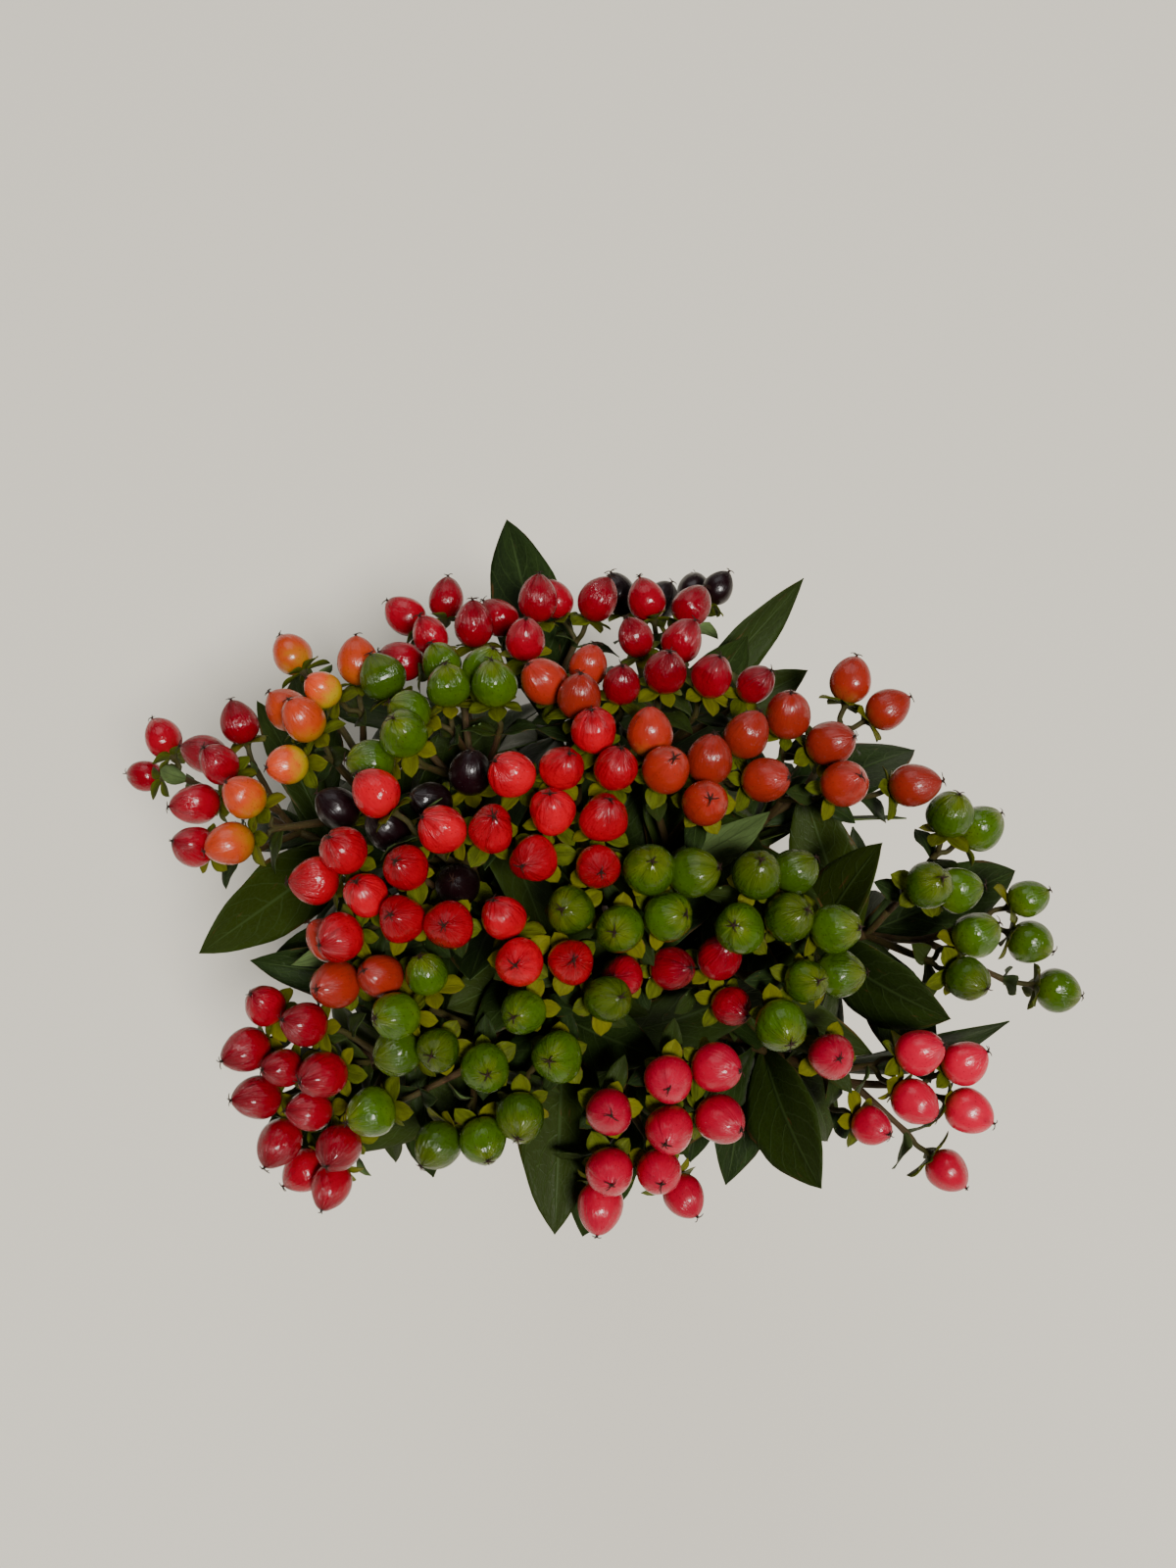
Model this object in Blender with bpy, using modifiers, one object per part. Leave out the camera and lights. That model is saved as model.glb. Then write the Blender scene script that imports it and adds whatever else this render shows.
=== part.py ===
"""A hand-tied bunch of hypericum berry stems, standing on its splayed, cut stem ends.

Every stem is one solid: woody stem, side branches, berry stalks, calyxes, berries and leaves
grown together. The stems cross in a spiral at the tie, where a twine binds them.
Metres, +Z up. The origin is on the surface that the bunch stands on, under its middle.
"""

import math

import bmesh
import bpy
import numpy as np
from mathutils import Matrix, Vector
from mathutils.bvhtree import BVHTree

# Whole bunch
HEAD_TOP = 0.285            # height of the highest berries
HEAD_HALF_WIDTH = 0.128     # the dome of berries, left to right
HEAD_HALF_DEPTH = 0.100     # the dome of berries, front to back
HEAD_DROP = 0.062           # how far the dome has come down at its rim
SPREAD_FROM = (-0.004, -0.018, 0.19)    # the place that all the berries point away from
TIE_HEIGHT = 0.108          # height of the binding point
SPIRAL = 50.0               # turn of the stems round the axis, radians per metre near the tie
# Where the tie stands, so that the origin lies under the middle of the whole bunch
TIE_PLACE = (0.0038, -0.0161, 0.0)

# Stems and branches
STEM_FOOT_RADIUS = 0.0021
STEM_TIE_RADIUS = 0.0020
STEM_TOP_RADIUS = 0.0013
STALK_RADIUS = 0.0009       # of the berry stalks, and of the branches that they fork from
STALK_SINK = 0.0008         # how far a root is sunk into what it grows from
STEM_GAP = 0.00064          # least gap between neighbouring stems at the tie
LIMB_GAP = 0.0011           # least gap between limbs elsewhere
CROWN_DEPTH = 0.038         # from the middle of a spray's berries back to its fork
BRANCH_DEPTH = 0.0165       # from a cluster's berries back to their own fork
WIDEST_DIVISION = 0.034     # farthest that two clusters' forks lie apart on a shared branch
DIVISION_SHARE = 0.45       # how far along the way to them such a branch divides
SWAY_TURN = 2.4             # from one cluster's lean to the next one's, in radians
CLUSTER_SWAY = 0.18         # how far a cluster's stalks lean aside from straight outward
PATH_STEPS = 5              # straight runs that a stem's curve has between the tie and its fork

# Berries
BERRY_RADIUS = 0.0060
BERRY_HALF_LENGTH = 0.0071
BERRY_CORE = 0.0014         # half the length over which a berry has its whole thickness
BELLY_RADIUS = 0.0059       # where a berry is widest, and how far under its middle
BELLY_DEPTH = 0.0030
SHOULDER_RADIUS = 0.0056    # where it starts to close to its tip, and how far above its middle
SHOULDER_HEIGHT = 0.0024
STALK_REACH = 0.0160        # from a cluster's fork to the middle of its berry
PAIR_HALF_STEP = 0.0067     # from the middle of a pair of berries to each of them

# Sepals
SEPALS = 5
ROUND = np.arange(SEPALS) * math.tau / SEPALS
SEPAL_REACH = 0.0080        # from the stalk's axis to a sepal's tip
SEPAL_DROOP = 0.0009        # how far a sepal's tip lies back towards the stalk
SEPAL_HALF_THICKNESS = 0.0005
SEPAL_GAP = 0.0011          # least gap between a sepal and its neighbours
SHORTEST_SEPAL = 0.3        # as a share of a whole one, where a neighbour leaves no more room
CALYX_ROOM = 0.0044         # half width of the room that a calyx takes under its berry
CALYX_SPAN = 0.00031        # height of that room
CALYX_DEPTH = 0.0016        # how far under the berry its stalk starts to widen
CALYX_FLARE = 1.15          # how much thicker the stalk is there
# A stalk has three sides: the five corners of a ring lie on three.
STALK_CORNERS = np.array((0.0, 1.5, 1.5, 3.5, 3.5)) * math.tau / SEPALS

# Leaves
LEAF_THICKNESS = 0.0008
LEAF_GAP = 0.0012           # least gap between a leaf and anything but its own stem
ROOT_FREE = 0.006           # how near its root a leaf may be to its own stem
LEAF_FOLD = 0.28            # how far each half of a blade is lifted from flat, in radians
LEAF_WAVE = 0.0007          # how far a blade's edge waves
LEAF_BASE = 0.12            # a blade's width at its base, as a share of the whole
LEAF_BROAD_FROM = 0.5       # how far along its length it has reached its whole width
LEAF_TAPER_FROM = 0.3       # where it starts to taper to its tip, and how late the taper is
LEAF_TAPER_POWER = 2.8
LEAF_ABOVE_TIE = 0.014      # the stems are bare up to this far above the tie
LONGEST_LEAF = 0.072
PAIR_TURN = 0.9             # from one stem's leaf pairs to the next one's, in radians
WAVE_TURN = 2.4             # from one stem's leaf edges to the next one's, in radians
LEAF_ROWS = (0.0, 0.3, 0.68, 1.0)       # rows of a leaf's points, as shares of its length
# Pairs of leaves: distance under the fork, length, half width, pitch, bend, and which stems have them
LEAF_PAIRS = [
    (0.032, 0.050, 0.0110, 0.80, 0.95, 1),
    (0.006, 0.034, 0.0072, 0.75, 0.75, 2),
]

# What is tried in turn where a leaf has no room: for one that shows in the picture, how much deeper
# its tip lies, how much lower it grows and how its face rolls; for one of a pair, its size as a
# share, how far it swings round its stem and how far it lifts
TIPS_DEEPER = (0.0, 0.004, -0.004, 0.008, -0.008, 0.013, 0.018, 0.024)
ROOTS_LOWER = (0.0, 0.006, 0.012, 0.02, -0.004)
LEAF_ROLLS = (0.0, 0.4, -0.4, 0.8, -0.8)
LEAF_SCALES = (1.0, 0.84, 0.7)
LEAF_SWINGS = (0.0, 0.25, -0.25, 0.5, -0.5, 0.8, -0.8)
LEAF_LIFTS = (0.0, -0.25, 0.3, 0.55)

# The twine: wound round the stems, with a knot and two loose ends
TWINE_RADIUS = 0.0010
TWINE_TURNS = 3
TWINE_PITCH = 0.0024
TWINE_GAP = 0.0007          # between the twine and the stems
TWINE_STEPS = 12            # straight runs in each turn
KNOT_ANGLE = math.radians(-80.0)
KNOT_RADIUS = 0.0025
LOOSE_END = 0.022           # length of each loose end
LOOSE_END_FALL = 0.55       # how far it falls, as a share of its length
LOOSE_END_SPREAD = 0.5      # how far it turns aside from the knot, in radians

# The picture: its middle and its focal length in dots, and how it looks down on the bunch
PICTURE_MIDDLE = (600.0, 800.0)
PICTURE_FOCUS = 1500.0
VIEW_ELEVATION = math.radians(72.0)
HEAD_TOP_SEEN = (606.0, 845.0)          # where the top of the head shows
VIEW_DISTANCE = 0.345       # from the view point to the top of the head

# Each spray: its variety, how deep it sits under the dome, and its clusters of berries.
# A cluster is where its middle shows in the picture, its number of berries, and the direction
# in which a pair of them lies, in degrees.
SPRAYS = {
    "far_left_crimson": ("crimson", 0.000, [
        (150, 768, 2, 100), (222, 746, 2, 40), (204, 797, 2, 5), (195, 862, 1, 0)]),
    "left_peach": ("peach", 0.000, [
        (295, 664, 1, 0), (286, 762, 2, 90), (238, 828, 2, 60), (350, 681, 2, 90), (300, 712, 1, 0)]),
    "upper_left_crimson": ("crimson", 0.002, [
        (431, 612, 2, 15), (476, 635, 1, 0), (412, 655, 2, 20)]),
    "upper_left_green": ("green", 0.002, [
        (383, 685, 1, 0), (430, 708, 2, 65), (477, 667, 2, 160), (507, 693, 1, 0), (386, 757, 2, 30)]),
    "top_crimson": ("crimson", 0.002, [
        (527, 612, 2, 50), (524, 655, 1, 0), (587, 603, 2, 150)]),
    "top_dark": ("dark", 0.008, [
        (654, 600, 2, 10), (724, 592, 2, 60)]),
    "top_right_crimson": ("crimson", 0.000, [
        (681, 605, 2, 10), (672, 642, 2, 165), (672, 687, 1, 0), (727, 687, 1, 0), (768, 697, 1, 0),
        (640, 690, 1, 0)]),
    "centre_coral": ("coral", 0.001, [
        (576, 680, 2, 45), (608, 712, 1, 0)]),
    "right_centre_coral": ("coral", 0.001, [
        (672, 761, 2, 90), (724, 792, 2, 70), (778, 769, 2, 95)]),
    "centre_red": ("red", 0.000, [
        (600, 736, 1, 0), (552, 776, 2, 10), (630, 777, 1, 0), (548, 850, 2, 60), (613, 870, 2, 90)]),
    "right_coral": ("coral", 0.000, [
        (828, 738, 2, 130), (892, 701, 2, 80), (863, 787, 1, 0), (937, 800, 1, 0)]),
    "left_red": ("red", 0.000, [
        (377, 803, 1, 0), (467, 850, 2, 5), (455, 943, 1, 0), (403, 884, 1, 0)]),
    "lower_left_red": ("red", 0.001, [
        (329, 884, 2, 0), (358, 925, 2, 40), (413, 940, 1, 0)]),
    "left_dark": ("dark", 0.013, [
        (340, 822, 1, 0), (398, 838, 1, 0), (452, 800, 2, 50), (462, 902, 1, 0)]),
    "inner_red": ("red", 0.002, [
        (515, 957, 2, 125), (584, 971, 1, 0)]),
    "centre_green": ("green", 0.003, [
        (651, 933, 2, 30), (690, 891, 2, 20), (598, 930, 1, 0)]),
    "right_green": ("green", 0.001, [
        (800, 884, 2, 15), (784, 939, 2, 10), (855, 950, 1, 0), (847, 997, 2, 15), (801, 1045, 1, 0)]),
    "far_right_green": ("green", 0.001, [
        (989, 830, 2, 10), (973, 906, 2, 5), (1001, 971, 2, 40), (1062, 940, 2, 135), (1085, 1011, 1, 0)]),
    "inner_crimson": ("crimson", 0.020, [
        (675, 990, 2, 10), (742, 1000, 2, 120)]),
    "lower_left_green": ("green", 0.002, [
        (413, 1006, 2, 60), (420, 1074, 2, 5), (487, 1089, 1, 0), (373, 1137, 1, 0), (472, 1175, 2, 20)]),
    "lower_green": ("green", 0.002, [
        (530, 1027, 1, 0), (613, 1007, 1, 0), (567, 1080, 1, 0), (523, 1150, 1, 0)]),
    "left_orange": ("coral", 0.006, [
        (341, 981, 2, 130), (374, 1003, 1, 0)]),
    "lower_left_crimson": ("crimson", 0.001, [
        (312, 1036, 1, 0), (254, 1070, 2, 100), (277, 1092, 1, 0), (325, 1097, 1, 0), (268, 1141, 2, 90),
        (318, 1152, 2, 160), (313, 1207, 2, 5)]),
    "lower_pink": ("pink", 0.000, [
        (712, 1098, 2, 5), (622, 1136, 1, 0), (709, 1156, 2, 10), (626, 1221, 2, 70), (682, 1212, 2, 130)]),
    "lower_right_pink": ("pink", 0.001, [
        (897, 1152, 1, 0), (850, 1079, 1, 0), (945, 1101, 2, 90), (996, 1107, 2, 110), (972, 1200, 1, 0)]),
}

# Leaves that the picture shows clearly: the stem, where the tip shows, how deep the tip lies under
# the dome, how far under the fork the leaf grows, half its width, its bend, and the turn of its face
SEEN_LEAVES = [
    ("top_crimson", 517, 530, 0.012, 0.002, 0.0120, 0.30, 0.0),
    ("top_dark", 820, 590, 0.004, 0.012, 0.0085, 0.30, 0.3),
    ("far_left_crimson", 203, 973, 0.010, 0.014, 0.0110, 0.50, 0.0),
    ("left_orange", 255, 980, 0.018, 0.010, 0.0090, 0.55, -0.3),
    ("lower_green", 566, 1260, 0.010, 0.012, 0.0120, 0.55, 0.0),
    ("lower_left_green", 345, 1178, 0.016, 0.012, 0.0095, 0.60, 0.2),
    ("lower_right_pink", 838, 1213, 0.010, 0.014, 0.0120, 0.45, 0.0),
    ("lower_pink", 804, 993, -0.004, 0.014, 0.0100, 0.35, 0.0),
    ("right_centre_coral", 786, 828, -0.001, 0.004, 0.0065, 0.35, 0.0),
    ("far_right_green", 970, 1040, 0.006, 0.014, 0.0120, 0.50, 0.0),
    ("far_right_green", 900, 860, -0.001, 0.004, 0.0095, 0.50, 0.0),
    ("lower_right_pink", 1030, 1042, 0.010, 0.004, 0.0090, 0.50, 0.2),
    ("far_left_crimson", 262, 715, 0.010, 0.010, 0.0070, 0.45, 0.5),
    ("left_red", 480, 1000, 0.014, 0.012, 0.0110, 0.50, 0.0),
    ("lower_left_green", 440, 1168, 0.012, 0.004, 0.0100, 0.50, 0.0),
    ("right_coral", 830, 792, 0.012, 0.004, 0.0055, 0.45, 0.6),
    ("right_coral", 925, 835, 0.010, 0.004, 0.0055, 0.45, -0.4),
]

PLANT_COLOURS = {
    "bark": (0.10, 0.045, 0.02),
    "leaf": (0.022, 0.055, 0.022),
    "calyx": (0.16, 0.20, 0.035),
}
BARK, LEAF, CALYX, BERRY = range(4)     # the order of a stem's materials
TWINE_COLOUR = (0.42, 0.30, 0.16)
BERRY_COLOURS = {
    "crimson": (0.42, 0.01, 0.03),
    "red": (0.60, 0.012, 0.02),
    "pink": (0.68, 0.03, 0.07),
    "coral": (0.55, 0.09, 0.04),
    "peach": (0.66, 0.16, 0.07),
    "green": (0.14, 0.26, 0.01),
    "dark": (0.03, 0.008, 0.012),
}

# How finely the shapes are worked out
TIE_ROUNDS, TIE_LAST_ROUNDS = 3600, 200
TIE_PUSHES = 6              # rounds between two times that the stems are drawn together at the tie
TIE_DRAW = 0.985            # how much nearer they are drawn each time
SETTLING_ROUNDS = 420
EARLY_ROUNDS = 252
LOOK_AGAIN = 12             # rounds between two searches for limbs that are near each other
LOOK_REACH = 0.006          # how near they are
PUSH_SHARE = 1.3            # how far limbs that overlap are pushed apart, as a share of their overlap
LIMB_PULL = 0.004           # how strongly each round draws a limb back to its own place
BERRY_PULL = 0.05
LATE_PULL = 0.1             # how much of that is left after the early rounds
STEM_STIFFNESS = 0.08
ROD_ROUNDS = 3              # times in each round that every limb gets its own length back
PROBE_STEP = 0.0015         # between the places along a limb that stand for it
PROBE_ROWS, PROBE_COLUMNS = 13, 5
SEPAL_LOOK = 0.012          # how far round a sepal its neighbours are looked for
OWN_STALK = 0.0016          # how near its berry's foot a sepal may be to its own stem
LEAF_LOOK = 0.003           # how far round a leaf other leaves are looked for
SEPAL_TURNS = 6             # ways that a calyx is turned, to find the one with the most room
SEPAL_STEP = 0.1            # steps in which a sepal's reach is tried
ASKEW = (0.31, 0.87, 0.39)  # a direction that no stalk has
TUBE_RESOLUTION = 1         # eight sides
WELD = 1e-6
SMOOTH_ANGLE = math.radians(50.0)


def unit(vectors):
    """Each vector, at length 1."""
    vectors = np.asarray(vectors, float)
    return vectors / np.maximum(np.linalg.norm(vectors, axis=-1, keepdims=True), 1e-12)


# Where things lie, from where they show in the picture

VIEW_FORWARD = np.array((0.0, math.cos(VIEW_ELEVATION), -math.sin(VIEW_ELEVATION)))
VIEW_UP = np.array((0.0, math.sin(VIEW_ELEVATION), math.cos(VIEW_ELEVATION)))
VIEW_RIGHT = np.array((1.0, 0.0, 0.0))


def sight_line(across, down):
    """Direction of the line of sight through a point of the picture."""
    x = (across - PICTURE_MIDDLE[0]) / PICTURE_FOCUS
    y = (PICTURE_MIDDLE[1] - down) / PICTURE_FOCUS
    return unit(VIEW_FORWARD + x * VIEW_RIGHT + y * VIEW_UP)


VIEW_POINT = np.array((0.0, 0.0, HEAD_TOP)) - VIEW_DISTANCE * sight_line(*HEAD_TOP_SEEN)


def on_dome(across, down, depth):
    """The point at that depth under the dome which shows at that place in the picture."""
    line = sight_line(across, down)
    start = VIEW_POINT
    curve = np.array((1.0 / HEAD_HALF_WIDTH, 1.0 / HEAD_HALF_DEPTH)) ** 2 * HEAD_DROP
    a = (curve * line[:2] ** 2).sum()
    b = 2.0 * (curve * start[:2] * line[:2]).sum() + line[2]
    c = (curve * start[:2] ** 2).sum() + start[2] - (HEAD_TOP - BERRY_HALF_LENGTH - depth)
    reach = (-b - math.sqrt(max(b * b - 4.0 * a * c, 0.0))) / (2.0 * a)
    return start + reach * line


def outward(point):
    """The way that a berry at this place points."""
    return unit(np.asarray(point) - np.array(SPREAD_FROM))


class Skeleton:
    """The bunch as points joined by limbs: its stems, branches, stalks and berries."""

    def __init__(self):
        self.points = []
        self.held = []
        self.limbs = []     # (point, point, start share, end share, radius, kind, stem)
        self.rods = []      # (point, point, length)
        self.stems = []

    def add(self, place, held=0.0):
        self.points.append(np.asarray(place, float))
        self.held.append(held)
        return len(self.points) - 1

    def join(self, a, b, radius, kind, stem, start=0.0, end=1.0):
        self.limbs.append((a, b, start, end, radius, kind, stem))
        if kind not in ("berry", "calyx"):
            length = float(np.linalg.norm(self.points[a] - self.points[b]))
            self.rods.append((a, b, length))


def cluster_places(across, down, count, turn, depth):
    """Middles of a cluster's berries: one berry, or two that lie side by side."""
    middle = on_dome(across, down, depth)
    if count == 1:
        return [middle]
    side = math.cos(math.radians(turn)) * VIEW_RIGHT + math.sin(math.radians(turn)) * VIEW_UP
    out = outward(middle)
    side = unit(side - (side @ out) * out)
    return [middle + way * PAIR_HALF_STEP * side for way in (-1.0, 1.0)]


def tie_places(wanted):
    """Where each stem passes the tie: packed side by side, each as near as can be to its own place."""
    places = wanted.copy()
    least = 2.0 * STEM_TIE_RADIUS + STEM_GAP
    self_only = np.eye(len(places))
    for turn in range(TIE_ROUNDS + TIE_LAST_ROUNDS):
        if turn < TIE_ROUNDS and turn % TIE_PUSHES == 0:
            places *= TIE_DRAW
        apart = places[:, None] - places[None]
        far = np.linalg.norm(apart, axis=2) + self_only
        push = np.maximum(least - far, 0.0) * (1.0 - self_only)
        places += 0.5 * (apart / far[..., None] * push[..., None]).sum(axis=1)
    return places - places.mean(axis=0)


def on_spiral(tie_place, height):
    """Where a stem that passes the tie at this place is at another height."""
    x, y = tie_place
    rise = (height - TIE_HEIGHT) * SPIRAL
    return np.array((x - rise * y, y + rise * x, height))


def back_along_spiral(point):
    """Where a stem that leads to this point passes the tie."""
    rise = (point[2] - TIE_HEIGHT) * SPIRAL
    x, y = point[:2]
    return np.array((x + rise * y, y - rise * x)) / (1.0 + rise * rise)


def divided(places):
    """Which clusters share a branch: two by two, each with its nearest, as a stem divides."""
    left = list(range(len(places)))
    shared = []
    while len(left) > 1 and len(places) > 2:
        spans = [(np.linalg.norm(places[i] - places[j]), i, j) for i in left for j in left if i < j]
        span, i, j = min(spans)
        if span > WIDEST_DIVISION:
            break
        shared.append([i, j])
        left = [k for k in left if k not in (i, j)]
    return shared + [[k] for k in left]


def grown_skeleton():
    """Every spray from its clusters down to the tie, before its neighbours push it aside."""
    tree = Skeleton()
    sprays = []
    for number, (name, (variety, depth, clusters)) in enumerate(SPRAYS.items()):
        heads = [cluster_places(*cluster, depth) for cluster in clusters]
        berries = np.array([place for head in heads for place in head])
        middle = berries.mean(axis=0)
        crown = middle - CROWN_DEPTH * unit(outward(middle) + np.array((0, 0, 0.35)))
        sprays.append((name, variety, number, heads, crown))
    ties = tie_places(np.array([back_along_spiral(spray[4]) for spray in sprays]))
    for (name, variety, number, heads, crown), tie in zip(sprays, ties):
        start = on_spiral(tie, TIE_HEIGHT)
        leave = unit(on_spiral(tie, TIE_HEIGHT + 0.01) - start)
        arrive = unit(outward(crown) + 0.6 * unit(crown - start))
        reach = np.linalg.norm(crown - start)
        path = [tree.add(start, held=1.0)]
        for step in range(1, PATH_STEPS + 1):
            t = step / PATH_STEPS
            h00, h10 = 2 * t**3 - 3 * t**2 + 1, t**3 - 2 * t**2 + t
            h01, h11 = -2 * t**3 + 3 * t**2, t**3 - t**2
            place = h00 * start + h10 * reach * leave + h01 * crown + h11 * reach * 0.8 * arrive
            path.append(tree.add(place))
            radius = STEM_TIE_RADIUS + (STEM_TOP_RADIUS - STEM_TIE_RADIUS) * t
            tree.join(path[-2], path[-1], radius, "stem", number)
        forks = []
        places = []
        for head in heads:
            middle = np.mean(head, axis=0)
            back = unit(middle - crown + 0.5 * CROWN_DEPTH * outward(middle))
            turn = SWAY_TURN * (number + len(places))
            sway = math.cos(turn) * VIEW_RIGHT + math.sin(turn) * VIEW_UP
            places.append(middle - BRANCH_DEPTH * unit(back + CLUSTER_SWAY * sway))
        for group in divided(places):
            route = [path[-1]]
            if len(group) == 2:
                shared = np.mean([places[i] for i in group], axis=0)
                route.append(tree.add(crown + DIVISION_SHARE * (shared - crown)))
                tree.join(route[0], route[1], STALK_RADIUS, "branch", number)
            for place, head in ((places[i], heads[i]) for i in group):
                fork = tree.add(place)
                tree.join(route[-1], fork, STALK_RADIUS, "branch", number)
                berries = []
                for middle in head:
                    berry = tree.add(place + STALK_REACH * unit(middle - place))
                    base = 1.0 - BERRY_HALF_LENGTH / STALK_REACH
                    half = BERRY_CORE / STALK_REACH
                    tree.join(fork, berry, STALK_RADIUS, "stalk", number, 0.0, base)
                    tree.rods[-1] = (fork, berry, STALK_REACH)
                    tree.join(fork, berry, BERRY_RADIUS, "berry", number, 1.0 - half, 1.0 + half)
                    tree.join(fork, berry, CALYX_ROOM, "calyx", number, base, base + CALYX_SPAN / STALK_REACH)
                    berries.append(berry)
                # A cluster's first berry carries on the route of branches that leads to its fork.
                forks.append((fork, berries, route))
                route = route[-1:]
        tree.stems.append({"name": name, "variety": variety, "path": path, "forks": forks, "tie": tie})
    return tree


def nearest_shares(a0, a1, b0, b1):
    """How far along each of two straight limbs the places lie where the two come nearest."""
    u, v, w = a1 - a0, b1 - b0, a0 - b0
    a = np.maximum((u * u).sum(-1), 1e-12)
    b = (u * v).sum(-1)
    c = np.maximum((v * v).sum(-1), 1e-12)
    d = (u * w).sum(-1)
    e = (v * w).sum(-1)
    s = np.clip((b * e - c * d) / np.maximum(a * c - b * b, 1e-15), 0.0, 1.0)
    t = np.clip((b * s + e) / c, 0.0, 1.0)
    s = np.clip((b * t - d) / a, 0.0, 1.0)
    return s, t


def settled(tree):
    """The skeleton once its neighbours have pushed each other clear, as they do when it is tied."""
    points = np.array(tree.points)
    wanted = points.copy()
    loose = 1.0 - np.array(tree.held)
    a, b = (np.array([limb[i] for limb in tree.limbs]) for i in (0, 1))
    start, end, radius = (np.array([limb[i] for limb in tree.limbs]) for i in (2, 3, 4))
    kind = np.array([limb[5] for limb in tree.limbs])
    stem = np.array([limb[6] for limb in tree.limbs])
    is_berry = kind == "berry"
    is_fruit = is_berry | (kind == "calyx")
    pull = np.full(len(points), LIMB_PULL)
    pull[b[is_berry]] = BERRY_PULL
    rod_a, rod_b = (np.array([rod[i] for rod in tree.rods]) for i in (0, 1))
    rod_length = np.array([rod[2] for rod in tree.rods])

    one, two = np.triu_indices(len(a), 1)
    shared = (a[one] == a[two]) | (a[one] == b[two]) | (b[one] == a[two]) | (b[one] == b[two])
    both = is_berry[one] & is_berry[two]
    keep = ~shared | both
    beside = shared & (b[one] != b[two]) & (a[one] == a[two])
    keep |= beside & (is_berry[one] ^ is_berry[two]) & ((kind[one] == "stalk") | (kind[two] == "stalk"))
    one, two = one[keep], two[keep]
    straight = [stem_["path"] for stem_ in tree.stems]
    inner = np.array([path[i] for path in straight for i in range(1, len(path) - 1)])
    before = np.array([path[i - 1] for path in straight for i in range(1, len(path) - 1)])
    after = np.array([path[i + 1] for path in straight for i in range(1, len(path) - 1)])
    bend = points[inner] - 0.5 * (points[before] + points[after])

    near_one, near_two = one, two
    for turn in range(SETTLING_ROUNDS):
        ends_a = points[a] + (points[b] - points[a]) * start[:, None]
        ends_b = points[a] + (points[b] - points[a]) * end[:, None]
        if turn % LOOK_AGAIN == 0:
            middles = 0.5 * (ends_a + ends_b)
            halves = 0.5 * np.linalg.norm(ends_a - ends_b, axis=1) + radius
            far = np.linalg.norm(middles[one] - middles[two], axis=1)
            close = far < halves[one] + halves[two] + LOOK_REACH
            near_one, near_two = one[close], two[close]
        s, t = nearest_shares(ends_a[near_one], ends_b[near_one], ends_a[near_two], ends_b[near_two])
        at_one = ends_a[near_one] + (ends_b - ends_a)[near_one] * s[:, None]
        at_two = ends_a[near_two] + (ends_b - ends_a)[near_two] * t[:, None]
        apart = at_one - at_two
        far = np.maximum(np.linalg.norm(apart, axis=1), 1e-9)
        gap = np.where(is_fruit[near_one] & is_fruit[near_two], 0.5, 1.0) * LIMB_GAP
        short = radius[near_one] + radius[near_two] + gap - far
        hit = short > 0.0
        way = apart[hit] / far[hit][:, None]
        moves = np.zeros_like(points)
        counts = np.full(len(points), 1e-9)
        for limbs, shares, sign in ((near_one[hit], s[hit], 1.0), (near_two[hit], t[hit], -1.0)):
            along = start[limbs] + (end[limbs] - start[limbs]) * shares
            low = np.clip(1.0 - along, 0.0, 1.0)
            high = np.clip(along, 0.0, 1.0)
            size = np.maximum(low**2 + high**2, 0.25)
            push = 0.5 * sign * short[hit][:, None] * way
            for ends, weights in ((a[limbs], low), (b[limbs], high)):
                np.add.at(moves, ends, push * (weights / size)[:, None])
                np.add.at(counts, ends, weights)
        points += moves / np.maximum(counts, 1.0)[:, None] * PUSH_SHARE * loose[:, None]
        for _ in range(ROD_ROUNDS):
            rod = points[rod_b] - points[rod_a]
            length = np.maximum(np.linalg.norm(rod, axis=1), 1e-9)
            change = (0.5 * (length - rod_length) / length)[:, None] * rod
            np.add.at(points, rod_a, change * loose[rod_a][:, None] * 0.5)
            np.add.at(points, rod_b, -change * loose[rod_b][:, None] * 0.5)
        smooth = 0.5 * (points[before] + points[after]) + bend
        points[inner] += STEM_STIFFNESS * (smooth - points[inner])
        fade = 1.0 if turn < EARLY_ROUNDS else LATE_PULL
        points += (pull * fade * loose)[:, None] * (wanted - points)
        points = np.round(points, 9)
    tree.points = points
    return tree


# Leaves: each is a midrib that starts at a node of its stem and bends, with a folded blade on it

def blade_half_width(t, half_width):
    """Half the width of a blade at a share of its length: an oval with a narrow base."""
    rise = np.sin(0.5 * np.pi * np.clip(t / LEAF_BROAD_FROM, 0.0, 1.0)) ** 0.9
    past = np.clip((t - LEAF_TAPER_FROM) / (1.0 - LEAF_TAPER_FROM), 0.0, 1.0)
    return half_width * (LEAF_BASE + (1.0 - LEAF_BASE) * rise) * (1.0 - past**LEAF_TAPER_POWER)


def blade_place(leaf, t, s):
    """The point of a leaf at share t of its length and s from one edge, -1, to the other, 1."""
    t, s = np.asarray(t, float), np.asarray(s, float)
    along, away = leaf["along"], leaf["away"]
    side = np.cross(along, away)
    pitch, bend = leaf["pitch"], leaf["bend"]
    angle = pitch + bend * t
    rise = (np.sin(angle) - math.sin(pitch)) / bend
    run = (math.cos(pitch) - np.cos(angle)) / bend
    rib = leaf["root"] + leaf["length"] * (rise[..., None] * along + run[..., None] * away)
    up = np.sin(angle)[..., None] * along - np.cos(angle)[..., None] * away
    width = blade_half_width(t, leaf["half_width"]) * s
    fold = LEAF_FOLD * (1.0 - 0.5 * t)
    lift = np.abs(width) * np.sin(fold)
    wave = LEAF_WAVE * np.abs(s) ** 2 * np.sin(6.3 * t + 1.3 * s + leaf["phase"]) * np.sin(np.pi * t)
    return rib + (width * np.cos(fold))[..., None] * side + (lift + wave)[..., None] * up


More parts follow.
